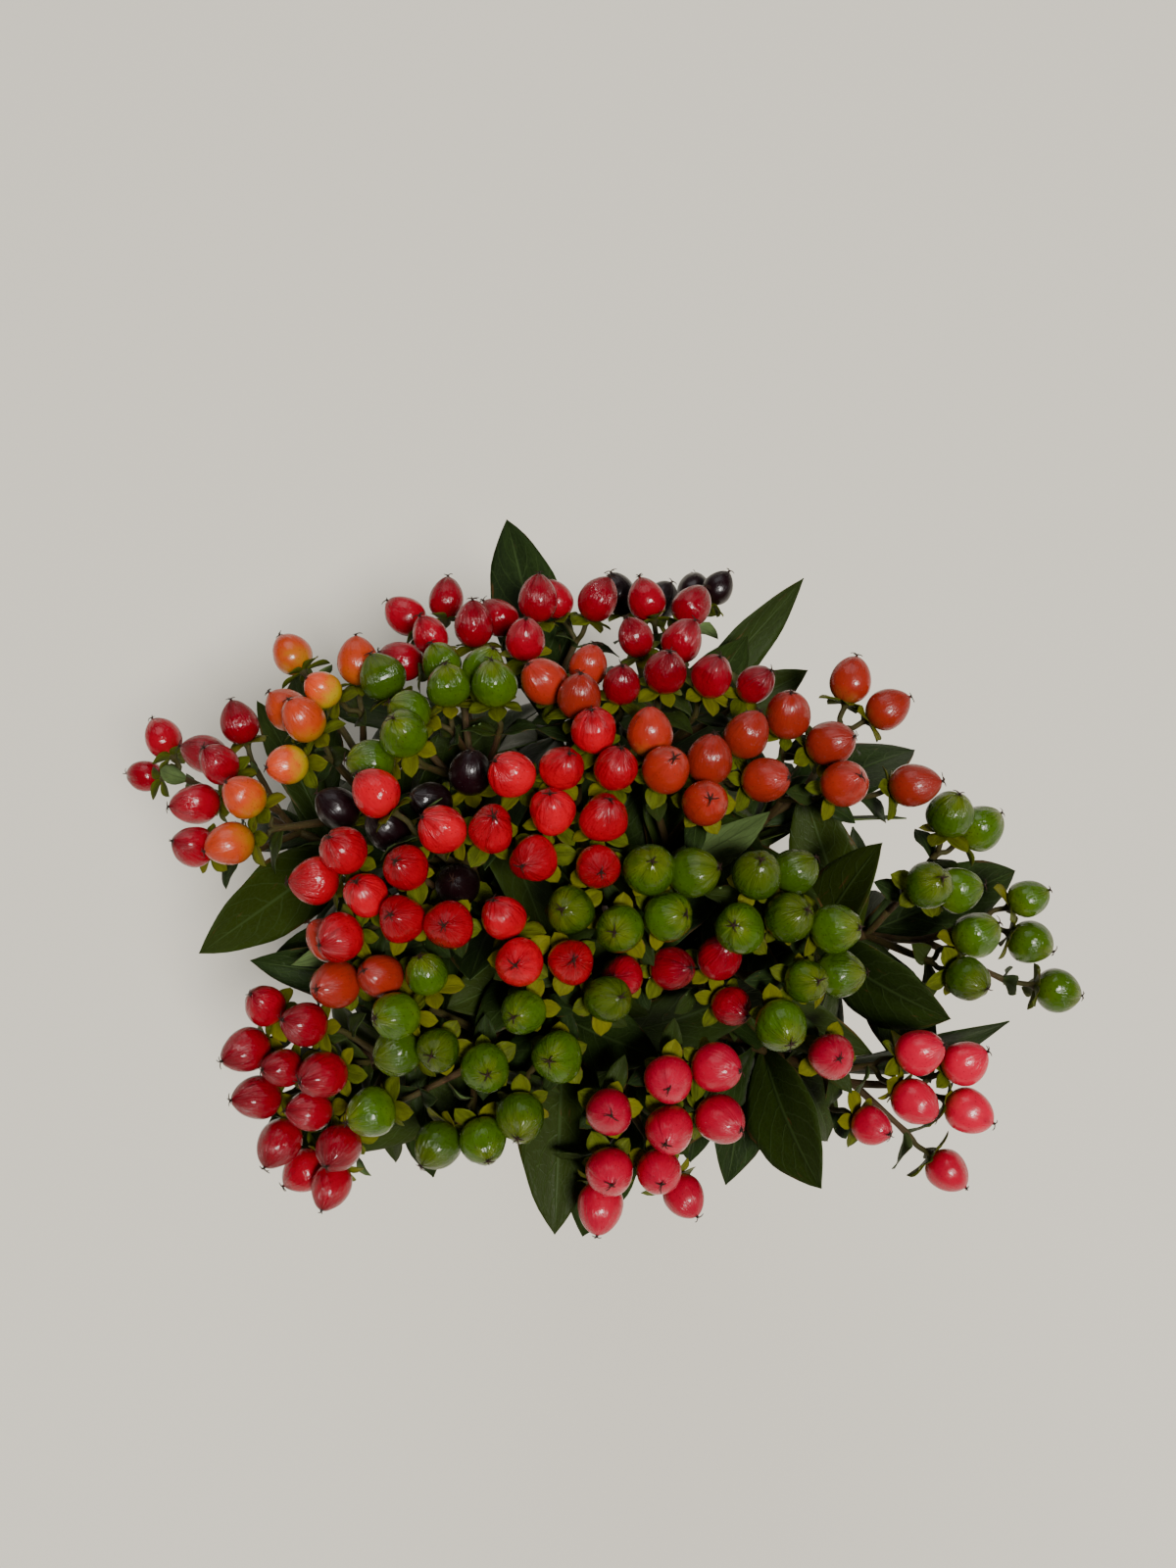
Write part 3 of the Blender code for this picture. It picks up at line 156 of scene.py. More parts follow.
# Each spray: its variety, how deep it sits under the dome, and its clusters of berries.
# A cluster is where its middle shows in the picture, its number of berries, and the direction
# in which a pair of them lies, in degrees.
SPRAYS = {
    "far_left_crimson": ("crimson", 0.000, [
        (150, 768, 2, 100), (222, 746, 2, 40), (204, 797, 2, 5), (195, 862, 1, 0)]),
    "left_peach": ("peach", 0.000, [
        (295, 664, 1, 0), (286, 762, 2, 90), (238, 828, 2, 60), (350, 681, 2, 90), (300, 712, 1, 0)]),
    "upper_left_crimson": ("crimson", 0.002, [
        (431, 612, 2, 15), (476, 635, 1, 0), (412, 655, 2, 20)]),
    "upper_left_green": ("green", 0.002, [
        (383, 685, 1, 0), (430, 708, 2, 65), (477, 667, 2, 160), (507, 693, 1, 0), (386, 757, 2, 30)]),
    "top_crimson": ("crimson", 0.002, [
        (527, 612, 2, 50), (524, 655, 1, 0), (587, 603, 2, 150)]),
    "top_dark": ("dark", 0.008, [
        (654, 600, 2, 10), (724, 592, 2, 60)]),
    "top_right_crimson": ("crimson", 0.000, [
        (681, 605, 2, 10), (672, 642, 2, 165), (672, 687, 1, 0), (727, 687, 1, 0), (768, 697, 1, 0),
        (640, 690, 1, 0)]),
    "centre_coral": ("coral", 0.001, [
        (576, 680, 2, 45), (608, 712, 1, 0)]),
    "right_centre_coral": ("coral", 0.001, [
        (672, 761, 2, 90), (724, 792, 2, 70), (778, 769, 2, 95)]),
    "centre_red": ("red", 0.000, [
        (600, 736, 1, 0), (552, 776, 2, 10), (630, 777, 1, 0), (548, 850, 2, 60), (613, 870, 2, 90)]),
    "right_coral": ("coral", 0.000, [
        (828, 738, 2, 130), (892, 701, 2, 80), (863, 787, 1, 0), (937, 800, 1, 0)]),
    "left_red": ("red", 0.000, [
        (377, 803, 1, 0), (467, 850, 2, 5), (455, 943, 1, 0), (403, 884, 1, 0)]),
    "lower_left_red": ("red", 0.001, [
        (329, 884, 2, 0), (358, 925, 2, 40), (413, 940, 1, 0)]),
    "left_dark": ("dark", 0.013, [
        (340, 822, 1, 0), (398, 838, 1, 0), (452, 800, 2, 50), (462, 902, 1, 0)]),
    "inner_red": ("red", 0.002, [
        (515, 957, 2, 125), (584, 971, 1, 0)]),
    "centre_green": ("green", 0.003, [
        (651, 933, 2, 30), (690, 891, 2, 20), (598, 930, 1, 0)]),
    "right_green": ("green", 0.001, [
        (800, 884, 2, 15), (784, 939, 2, 10), (855, 950, 1, 0), (847, 997, 2, 15), (801, 1045, 1, 0)]),
    "far_right_green": ("green", 0.001, [
        (989, 830, 2, 10), (973, 906, 2, 5), (1001, 971, 2, 40), (1062, 940, 2, 135), (1085, 1011, 1, 0)]),
    "inner_crimson": ("crimson", 0.020, [
        (675, 990, 2, 10), (742, 1000, 2, 120)]),
    "lower_left_green": ("green", 0.002, [
        (413, 1006, 2, 60), (420, 1074, 2, 5), (487, 1089, 1, 0), (373, 1137, 1, 0), (472, 1175, 2, 20)]),
    "lower_green": ("green", 0.002, [
        (530, 1027, 1, 0), (613, 1007, 1, 0), (567, 1080, 1, 0), (523, 1150, 1, 0)]),
    "left_orange": ("coral", 0.006, [
        (341, 981, 2, 130), (374, 1003, 1, 0)]),
    "lower_left_crimson": ("crimson", 0.001, [
        (312, 1036, 1, 0), (254, 1070, 2, 100), (277, 1092, 1, 0), (325, 1097, 1, 0), (268, 1141, 2, 90),
        (318, 1152, 2, 160), (313, 1207, 2, 5)]),
    "lower_pink": ("pink", 0.000, [
        (712, 1098, 2, 5), (622, 1136, 1, 0), (709, 1156, 2, 10), (626, 1221, 2, 70), (682, 1212, 2, 130)]),
    "lower_right_pink": ("pink", 0.001, [
        (897, 1152, 1, 0), (850, 1079, 1, 0), (945, 1101, 2, 90), (996, 1107, 2, 110), (972, 1200, 1, 0)]),
}

# Leaves that the picture shows clearly: the stem, where the tip shows, how deep the tip lies under
# the dome, how far under the fork the leaf grows, half its width, its bend, and the turn of its face
SEEN_LEAVES = [
    ("top_crimson", 517, 530, 0.012, 0.002, 0.0120, 0.30, 0.0),
    ("top_dark", 820, 590, 0.004, 0.012, 0.0085, 0.30, 0.3),
    ("far_left_crimson", 203, 973, 0.010, 0.014, 0.0110, 0.50, 0.0),
    ("left_orange", 255, 980, 0.018, 0.010, 0.0090, 0.55, -0.3),
    ("lower_green", 566, 1260, 0.010, 0.012, 0.0120, 0.55, 0.0),
    ("lower_left_green", 345, 1178, 0.016, 0.012, 0.0095, 0.60, 0.2),
    ("lower_right_pink", 838, 1213, 0.010, 0.014, 0.0120, 0.45, 0.0),
    ("lower_pink", 804, 993, -0.004, 0.014, 0.0100, 0.35, 0.0),
    ("right_centre_coral", 786, 828, -0.001, 0.004, 0.0065, 0.35, 0.0),
    ("far_right_green", 970, 1040, 0.006, 0.014, 0.0120, 0.50, 0.0),
    ("far_right_green", 900, 860, -0.001, 0.004, 0.0095, 0.50, 0.0),
    ("lower_right_pink", 1030, 1042, 0.010, 0.004, 0.0090, 0.50, 0.2),
    ("far_left_crimson", 262, 715, 0.010, 0.010, 0.0070, 0.45, 0.5),
    ("left_red", 480, 1000, 0.014, 0.012, 0.0110, 0.50, 0.0),
    ("lower_left_green", 440, 1168, 0.012, 0.004, 0.0100, 0.50, 0.0),
    ("right_coral", 830, 792, 0.012, 0.004, 0.0055, 0.45, 0.6),
    ("right_coral", 925, 835, 0.010, 0.004, 0.0055, 0.45, -0.4),
]

# How finely the shapes are worked out
TIE_ROUNDS, TIE_LAST_ROUNDS = 3600, 200
TIE_PUSHES = 6              # rounds between two times that the stems are drawn together at the tie
TIE_DRAW = 0.985            # how much nearer they are drawn each time
SETTLING_ROUNDS = 420
EARLY_ROUNDS = 252
LOOK_AGAIN = 12             # rounds between two searches for limbs that are near each other
LOOK_REACH = 0.006          # how near they are
PUSH_SHARE = 1.3            # how far limbs that overlap are pushed apart, as a share of their overlap
LIMB_PULL = 0.004           # how strongly each round draws a limb back to its own place
BERRY_PULL = 0.05
LATE_PULL = 0.1             # how much of that is left after the early rounds
STEM_STIFFNESS = 0.08
ROD_ROUNDS = 3              # times in each round that every limb gets its own length back
PROBE_STEP = 0.0015         # between the places along a limb that stand for it
PROBE_ROWS, PROBE_COLUMNS = 13, 5
SEPAL_LOOK = 0.012          # how far round a sepal its neighbours are looked for
OWN_STALK = 0.0016          # how near its berry's foot a sepal may be to its own stem
LEAF_LOOK = 0.003           # how far round a leaf other leaves are looked for
SEPAL_TURNS = 6             # ways that a calyx is turned, to find the one with the most room
SEPAL_STEP = 0.1            # steps in which a sepal's reach is tried
ASKEW = (0.31, 0.87, 0.39)  # a direction that no stalk has

# Berries, in full detail
BERRY_ROWS = 22
BERRY_COLUMNS = 36
WIDEST_SHARE = 0.42         # how far up a berry is widest
FOOT_FULLNESS = 0.52        # how round it is below that: 0.5 is a ball
BERRY_SIZES = ((1.0, 0.97, 0.93, 0.85), (0.4, 0.3, 0.2, 0.1))   # as shares, and how common each is
CREASES = ((5, 0.45), (8, 0.35), (13, 0.22))    # how many run to the tip, and how strong they are
CREASE_DEPTH = 0.00052
DENTS = 3
DENT_DEPTH = 0.012          # as a share of the berry's thickness
SEAM_DEPTH = 0.03           # the same, along the three seams
TIP_RADIUS = 0.0004
BEAK = ((0.00005, 0.00042), (0.0004, 0.00030), (0.0005, 0.0))   # rings: height over the tip, radius
BEAK_RISES = (1.03, 1.06, 1.08)     # how far up the berry they are for its finish
# Each variety: its girth and length beside a plain berry's, how pointed it is, its lobes, how wrinkled it is
BERRY_FORMS = {
    "crimson": (0.96, 0.98, 0.62, 0.030, 0.90),
    "red": (1.00, 0.90, 0.55, 0.050, 1.50),
    "pink": (1.00, 0.96, 0.58, 0.035, 0.40),
    "coral": (0.99, 1.00, 0.60, 0.018, 0.55),
    "peach": (0.97, 0.96, 0.58, 0.015, 0.20),
    "green": (1.05, 0.93, 0.54, 0.035, 1.20),
    "dark": (0.94, 0.94, 0.60, 0.012, 0.45),
}
# Each variety: where up the berry its foot's colour gives way to its skin's, how strong its specks,
# dimples and creases are, and how much duller it is than the glossiest
BERRY_SKINS = {
    "crimson": (-0.15, 0.22, 0.45, 0.5, 1.0, 0.0),
    "red": (-0.15, 0.22, 0.45, 0.5, 1.0, 0.0),
    "pink": (-0.15, 0.22, 0.45, 0.2, 0.45, 0.06),
    "coral": (-0.18, 0.36, 0.45, 0.2, 0.45, 0.03),
    "peach": (0.10, 0.66, 0.45, 0.2, 0.45, 0.05),
    "green": (-0.2, 0.5, 0.85, 0.5, 1.0, 0.0),
    "dark": (-0.15, 0.22, 0.45, 0.2, 0.45, 0.12),
}
# Colours of each variety: its skin, its foot and round its tip
BERRY_COLOURS = {
    "crimson": ((0.33, 0.001, 0.013), (0.28, 0.006, 0.012), (0.24, 0.001, 0.009)),
    "red": ((0.58, 0.001, 0.014), (0.52, 0.016, 0.018), (0.42, 0.001, 0.01)),
    "pink": ((0.6, 0.003, 0.034), (0.56, 0.06, 0.05), (0.58, 0.004, 0.04)),
    "coral": ((0.38, 0.026, 0.013), (0.36, 0.14, 0.018), (0.4, 0.018, 0.012)),
    "peach": ((0.68, 0.070, 0.016), (0.44, 0.3, 0.012), (0.58, 0.036, 0.016)),
    "green": ((0.050, 0.112, 0.001), (0.10, 0.155, 0.002), (0.20, 0.240, 0.002)),
    "dark": ((0.01, 0.0015, 0.003), (0.02, 0.01, 0.002), (0.008, 0.0015, 0.002)),
}
BERRY_PARTS = {"": "Skin of the {} berries", "_foot": "Where a {} berry meets its stalk",
               "_tip": "Round the tip of a {} berry"}
SPECK_SCALE = 5.5
SPECK_COLOUR = (0.020, 0.010, 0.004)
BEAK_COLOUR = (0.020, 0.008, 0.004)
DRIED_COLOUR = (0.035, 0.014, 0.008)    # of the dried styles on a berry's tip
STYLE_RADIUS = 0.00017
STYLE_STEPS = 4
STYLE_SIDES = 4

# Sepals, in full detail
SEPAL_ROWS = 8
SEPAL_COLUMNS = 5
SEPAL_SIZES = (1.0, 0.80, 0.95, 0.74, 0.88)     # the five of a calyx overlap unevenly
SEPAL_LENGTHS = (0.0056, 0.0034)    # without any room, and what is added with all of it
SEPAL_WIDTH = 0.38          # half of it, as a share of the length
SEPAL_SHEET = 0.00011       # half its thickness
SEPAL_SINK = 0.0004         # how far under the berry's foot it grows

# Wood, in full detail
WOOD_SIDES = 12
STALK_SIDES = 9
STEM_STEPS = 14             # steps of a stem's path between two of its bends
SMOOTH_STEPS = 5            # the same, of other paths
NODE_STEP = 0.031           # between the nodes of a bare stem
NODE_SWELLING = 0.16
NODE_LENGTH = 0.0016
STALK_BOW = 0.0007          # how far a stalk's middle bows aside
STALK_NECK = 0.0012         # how far under its berry its last bend is
STALK_IN_BERRY = 0.0006     # how far it reaches into its berry
THIN_STALK = 0.86           # a stalk's radius near its berry, as a share
THICKER = 0.00030           # how much its radius grows towards its fork
FLARE = 0.0009              # the same, under its berry
KNEE_SWELLING, KNEE_LENGTH = 0.28, 0.0013       # at its fork
FORK_AGE = 0.30             # how woody a stem is at its fork: 1 is the oldest bark
CUT_RIM_AGE, CUT_AGE, DRIED_AGE = 1.3, 1.5, 2.0     # marks of a stem's cut face and of dried styles
STEM_SEED = 3.1             # between the streaks of one stem and of the next

# Leaves, in full detail
BLADE_ROWS = 19
BLADE_COLUMNS = 11
BLADE_START = 0.02          # where a blade starts, as a share of its length
BROAD_LEAF = 0.012          # half the width of a leaf that has the next three sizes in full
QUILT_HEIGHT = 0.00020
RIB_DEPTH = 0.00040
CURL_HEIGHT = 0.0011
VEIN_PAIRS = 7.0
RUST_COLOUR = (0.09, 0.035, 0.012)      # of the spots where a leaf has dried
# Leaves that the picture shows and that are laid closer to their neighbours than a solid may be
SEEN_THIN_LEAVES = [
    ("right_green", 767, 1160, 0.012, 0.014, 0.0085, 0.50, 0.0),
    ("left_orange", 362, 1106, 0.004, 0.004, 0.0085, 0.40, 0.0),
    ("left_dark", 560, 1001, 0.006, 0.014, 0.0070, 0.35, 0.0),
    ("inner_red", 560, 1001, 0.006, 0.010, 0.0070, 0.35, 0.0),
    ("lower_left_red", 297, 985, 0.010, 0.006, 0.0060, 0.50, 0.0),
    ("right_green", 890, 1075, 0.010, 0.004, 0.0100, 0.50, 0.0),
    ("lower_green", 655, 1140, 0.012, 0.006, 0.0100, 0.45, 0.0),
]
# Leaves that show their under side, by how far down the picture their tips are
TURNED_OVER = (828, 1001, 985)
# More pairs, too close to their neighbours for solids, and what is tried for them: as above
THIN_PAIRS = [
    (0.010, 0.034, 0.0095, 0.60, 0.70, 1),
    (0.018, 0.040, 0.0105, 0.80, 0.80, 1),
    (0.027, 0.042, 0.0110, 0.95, 0.70, 1),
    (0.040, 0.044, 0.0110, 0.75, 0.90, 1),
    (0.053, 0.046, 0.0110, 0.80, 0.90, 1),
]
THIN_TRIES = ((1.0, 0.72), (0.0, 0.35, -0.35, 0.7, -0.7), (0.0, 0.3))
THIN_LEAF_GAP = 0.0003
# Leaves that lie level under the berries: how many round each stem, how far their tips are from its
# fork and at most from the nearest berry, in dots of the picture, and half their width
LEVEL_LEAVES = 4
LEVEL_REACH = 165.0
LEVEL_COVER = 48.0
LEVEL_HALF_WIDTH = 0.0105
# What is tried in turn for them: how deep the tip lies, how far under the fork they grow, and their roll
LEVEL_TRIES = ((0.028, 0.036, 0.020), (0.004, 0.014), (0.0, 0.5, -0.5))
# The small leaves under each fork
BRACT_LENGTH = 0.012
BRACT_HALF_WIDTH = 0.0030
BRACT_SINK = 0.0005         # how far under the fork they grow
BRACT_TURN = 1.7            # from one fork's bracts to the next one's, in radians
BRACT_SWINGS = (0.0, 0.5, -0.5, 1.0, -1.0)      # tried in turn where one has no room
BRACT_ROWS, BRACT_COLUMNS = 8, 5

WELD = 1e-6                 # places nearer than this are one

# Twine, in full detail
PLIES = 3
PLY_TWIST = 0.0075          # length in which a ply goes once round
PLY_SIDES = 8
TURN_STEPS = 36             # places of the path in each turn
FIBRES = 150
FIBRE_RADII = (0.00005, 0.00004, 0.00002)
FRAYED = 1.4                # how far the plies stand apart at the loose ends
# How each end goes through the knot: places above, out from and beside its middle
KNOT_LOOP = (
    (1.6 * TWINE_PITCH, -0.0014, 0.0), (0.0024, -0.0004, -0.0020), (0.0010, 0.0016, -0.0012),
    (-0.0006, 0.0014, 0.0012), (-0.0016, 0.0002, 0.0016), (-0.0002, -0.0008, 0.0004),
    (0.0004, 0.0024, -0.0004))

# Stage: the lamps' places, sizes and colours
WINDOW = ((1.1, -1.76, 4.65), (1.2, 1.0), (1.0, 0.98, 0.95))
BACK = ((-0.3, 1.3, 1.5), (1.2, 1.2), (0.96, 0.98, 1.0))
LIT_PLACE = (0.0, 0.0, HEAD_TOP - 0.04)
ROOM_COLOUR = (0.95, 0.97, 1.0, 1.0)
FILM_HEIGHT = 36.0          # of the camera, in millimetres


def unit(vectors):
    """Each vector, at length 1."""
    vectors = np.asarray(vectors, float)
    return vectors / np.maximum(np.linalg.norm(vectors, axis=-1, keepdims=True), 1e-12)


def turned(one, other, angle):
    """The direction at an angle from one direction, on the way to another that is square to it."""
    return math.cos(angle) * one + math.sin(angle) * other


# Where things lie, from where they show in the picture

VIEW_FORWARD = np.array((0.0, math.cos(VIEW_ELEVATION), -math.sin(VIEW_ELEVATION)))
VIEW_UP = np.array((0.0, math.sin(VIEW_ELEVATION), math.cos(VIEW_ELEVATION)))
VIEW_RIGHT = np.array((1.0, 0.0, 0.0))


def sight_line(across, down):
    """Direction of the line of sight through a point of the picture."""
    x = (across - PICTURE_MIDDLE[0]) / PICTURE_FOCUS
    y = (PICTURE_MIDDLE[1] - down) / PICTURE_FOCUS
    return unit(VIEW_FORWARD + x * VIEW_RIGHT + y * VIEW_UP)


VIEW_POINT = np.array((0.0, 0.0, HEAD_TOP)) - VIEW_DISTANCE * sight_line(*HEAD_TOP_SEEN)


def on_dome(across, down, depth):
    """The point at that depth under the dome which shows at that place in the picture."""
    line = sight_line(across, down)
    start = VIEW_POINT
    curve = np.array((1.0 / HEAD_HALF_WIDTH, 1.0 / HEAD_HALF_DEPTH)) ** 2 * HEAD_DROP
    a = (curve * line[:2] ** 2).sum()
    b = 2.0 * (curve * start[:2] * line[:2]).sum() + line[2]
    c = (curve * start[:2] ** 2).sum() + start[2] - (HEAD_TOP - BERRY_HALF_LENGTH - depth)
    reach = (-b - math.sqrt(max(b * b - 4.0 * a * c, 0.0))) / (2.0 * a)
    return start + reach * line


def outward(point):
    """The way that a berry at this place points."""
    return unit(np.asarray(point) - np.array(SPREAD_FROM))


class Skeleton:
    """The bunch as points joined by limbs: its stems, branches, stalks and berries."""

    def __init__(self):
        self.points, self.held, self.stems = [], [], []
        self.limbs = []     # (point, point, start share, end share, radius, kind, stem)
        self.rods = []      # (point, point, length)

    def add(self, place, held=0.0):
        self.points.append(np.asarray(place, float))
        self.held.append(held)
        return len(self.points) - 1

    def join(self, a, b, radius, kind, stem, start=0.0, end=1.0):
        self.limbs.append((a, b, start, end, radius, kind, stem))
        if kind not in ("berry", "calyx"):
            length = float(np.linalg.norm(self.points[a] - self.points[b]))
            self.rods.append((a, b, length))


def cluster_places(across, down, count, turn, depth):
    """Middles of a cluster's berries: one berry, or two that lie side by side."""
    middle = on_dome(across, down, depth)
    if count == 1:
        return [middle]
    side = turned(VIEW_RIGHT, VIEW_UP, math.radians(turn))
    out = outward(middle)
    side = unit(side - (side @ out) * out)
    return [middle + way * PAIR_HALF_STEP * side for way in (-1.0, 1.0)]


def tie_places(wanted):
    """Where each stem passes the tie: packed side by side, each as near as can be to its own place."""
    places = wanted.copy()
    least = 2.0 * STEM_TIE_RADIUS + STEM_GAP
    self_only = np.eye(len(places))
    for turn in range(TIE_ROUNDS + TIE_LAST_ROUNDS):
        if turn < TIE_ROUNDS and turn % TIE_PUSHES == 0:
            places *= TIE_DRAW
        apart = places[:, None] - places[None]
        far = np.linalg.norm(apart, axis=2) + self_only
        push = np.maximum(least - far, 0.0) * (1.0 - self_only)
        places += 0.5 * (apart / far[..., None] * push[..., None]).sum(axis=1)
    return places - places.mean(axis=0)


def on_spiral(tie_place, height):
    """Where a stem that passes the tie at this place is at another height."""
    x, y = tie_place
    rise = (height - TIE_HEIGHT) * SPIRAL
    return np.array((x - rise * y, y + rise * x, height))


def back_along_spiral(point):
    """Where a stem that leads to this point passes the tie."""
    rise = (point[2] - TIE_HEIGHT) * SPIRAL
    x, y = point[:2]
    return np.array((x + rise * y, y - rise * x)) / (1.0 + rise * rise)


def divided(places):
    """Which clusters share a branch: two by two, each with its nearest, as a stem divides."""
    left = list(range(len(places)))
    shared = []
    while len(left) > 1 and len(places) > 2:
        spans = [(np.linalg.norm(places[i] - places[j]), i, j) for i in left for j in left if i < j]
        span, i, j = min(spans)
        if span > WIDEST_DIVISION:
            break
        shared.append([i, j])
        left = [k for k in left if k not in (i, j)]
    return shared + [[k] for k in left]


def grown_skeleton():
    """Every spray from its clusters down to the tie, before its neighbours push it aside."""
    tree = Skeleton()
    sprays = []
    for number, (name, (variety, depth, clusters)) in enumerate(SPRAYS.items()):
        heads = [cluster_places(*cluster, depth) for cluster in clusters]
        berries = np.array([place for head in heads for place in head])
        middle = berries.mean(axis=0)
        crown = middle - CROWN_DEPTH * unit(outward(middle) + np.array((0, 0, 0.35)))
        sprays.append((name, variety, number, heads, crown))
    ties = tie_places(np.array([back_along_spiral(spray[4]) for spray in sprays]))
    for (name, variety, number, heads, crown), tie in zip(sprays, ties):
        start = on_spiral(tie, TIE_HEIGHT)
        leave = unit(on_spiral(tie, TIE_HEIGHT + 0.01) - start)
        arrive = unit(outward(crown) + 0.6 * unit(crown - start))
        reach = np.linalg.norm(crown - start)
        path = [tree.add(start, held=1.0)]
        for step in range(1, PATH_STEPS + 1):
            t = step / PATH_STEPS
            h00, h10 = 2 * t**3 - 3 * t**2 + 1, t**3 - 2 * t**2 + t
            h01, h11 = -2 * t**3 + 3 * t**2, t**3 - t**2
            place = h00 * start + h10 * reach * leave + h01 * crown + h11 * reach * 0.8 * arrive
            path.append(tree.add(place))
            radius = STEM_TIE_RADIUS + (STEM_TOP_RADIUS - STEM_TIE_RADIUS) * t
            tree.join(path[-2], path[-1], radius, "stem", number)
        forks = []
        places = []
        for head in heads:
            middle = np.mean(head, axis=0)
            back = unit(middle - crown + 0.5 * CROWN_DEPTH * outward(middle))
            turn = SWAY_TURN * (number + len(places))
            sway = turned(VIEW_RIGHT, VIEW_UP, turn)
            places.append(middle - BRANCH_DEPTH * unit(back + CLUSTER_SWAY * sway))
        for group in divided(places):
            route = [path[-1]]
            if len(group) == 2:
                shared = np.mean([places[i] for i in group], axis=0)
                route.append(tree.add(crown + DIVISION_SHARE * (shared - crown)))
                tree.join(route[0], route[1], STALK_RADIUS, "branch", number)
            for place, head in ((places[i], heads[i]) for i in group):
                fork = tree.add(place)
                tree.join(route[-1], fork, STALK_RADIUS, "branch", number)
                berries = []
                for middle in head:
                    berry = tree.add(place + STALK_REACH * unit(middle - place))
                    base = 1.0 - BERRY_HALF_LENGTH / STALK_REACH
                    half = BERRY_CORE / STALK_REACH
                    tree.join(fork, berry, STALK_RADIUS, "stalk", number, 0.0, base)
                    tree.rods[-1] = (fork, berry, STALK_REACH)
                    tree.join(fork, berry, BERRY_RADIUS, "berry", number, 1.0 - half, 1.0 + half)
                    tree.join(fork, berry, CALYX_ROOM, "calyx", number, base, base + CALYX_SPAN / STALK_REACH)
                    berries.append(berry)
                # A cluster's first berry carries on the route of branches that leads to its fork.
                forks.append((fork, berries, route))
                route = route[-1:]
        tree.stems.append({"name": name, "variety": variety, "path": path, "forks": forks, "tie": tie})
    return tree


def nearest_shares(a0, a1, b0, b1):
    """How far along each of two straight limbs the places lie where the two come nearest."""
    u, v, w = a1 - a0, b1 - b0, a0 - b0
    a = np.maximum((u * u).sum(-1), 1e-12)
    b = (u * v).sum(-1)
    c = np.maximum((v * v).sum(-1), 1e-12)
    d = (u * w).sum(-1)
    e = (v * w).sum(-1)
    s = np.clip((b * e - c * d) / np.maximum(a * c - b * b, 1e-15), 0.0, 1.0)
    t = np.clip((b * s + e) / c, 0.0, 1.0)
    s = np.clip((b * t - d) / a, 0.0, 1.0)
    return s, t


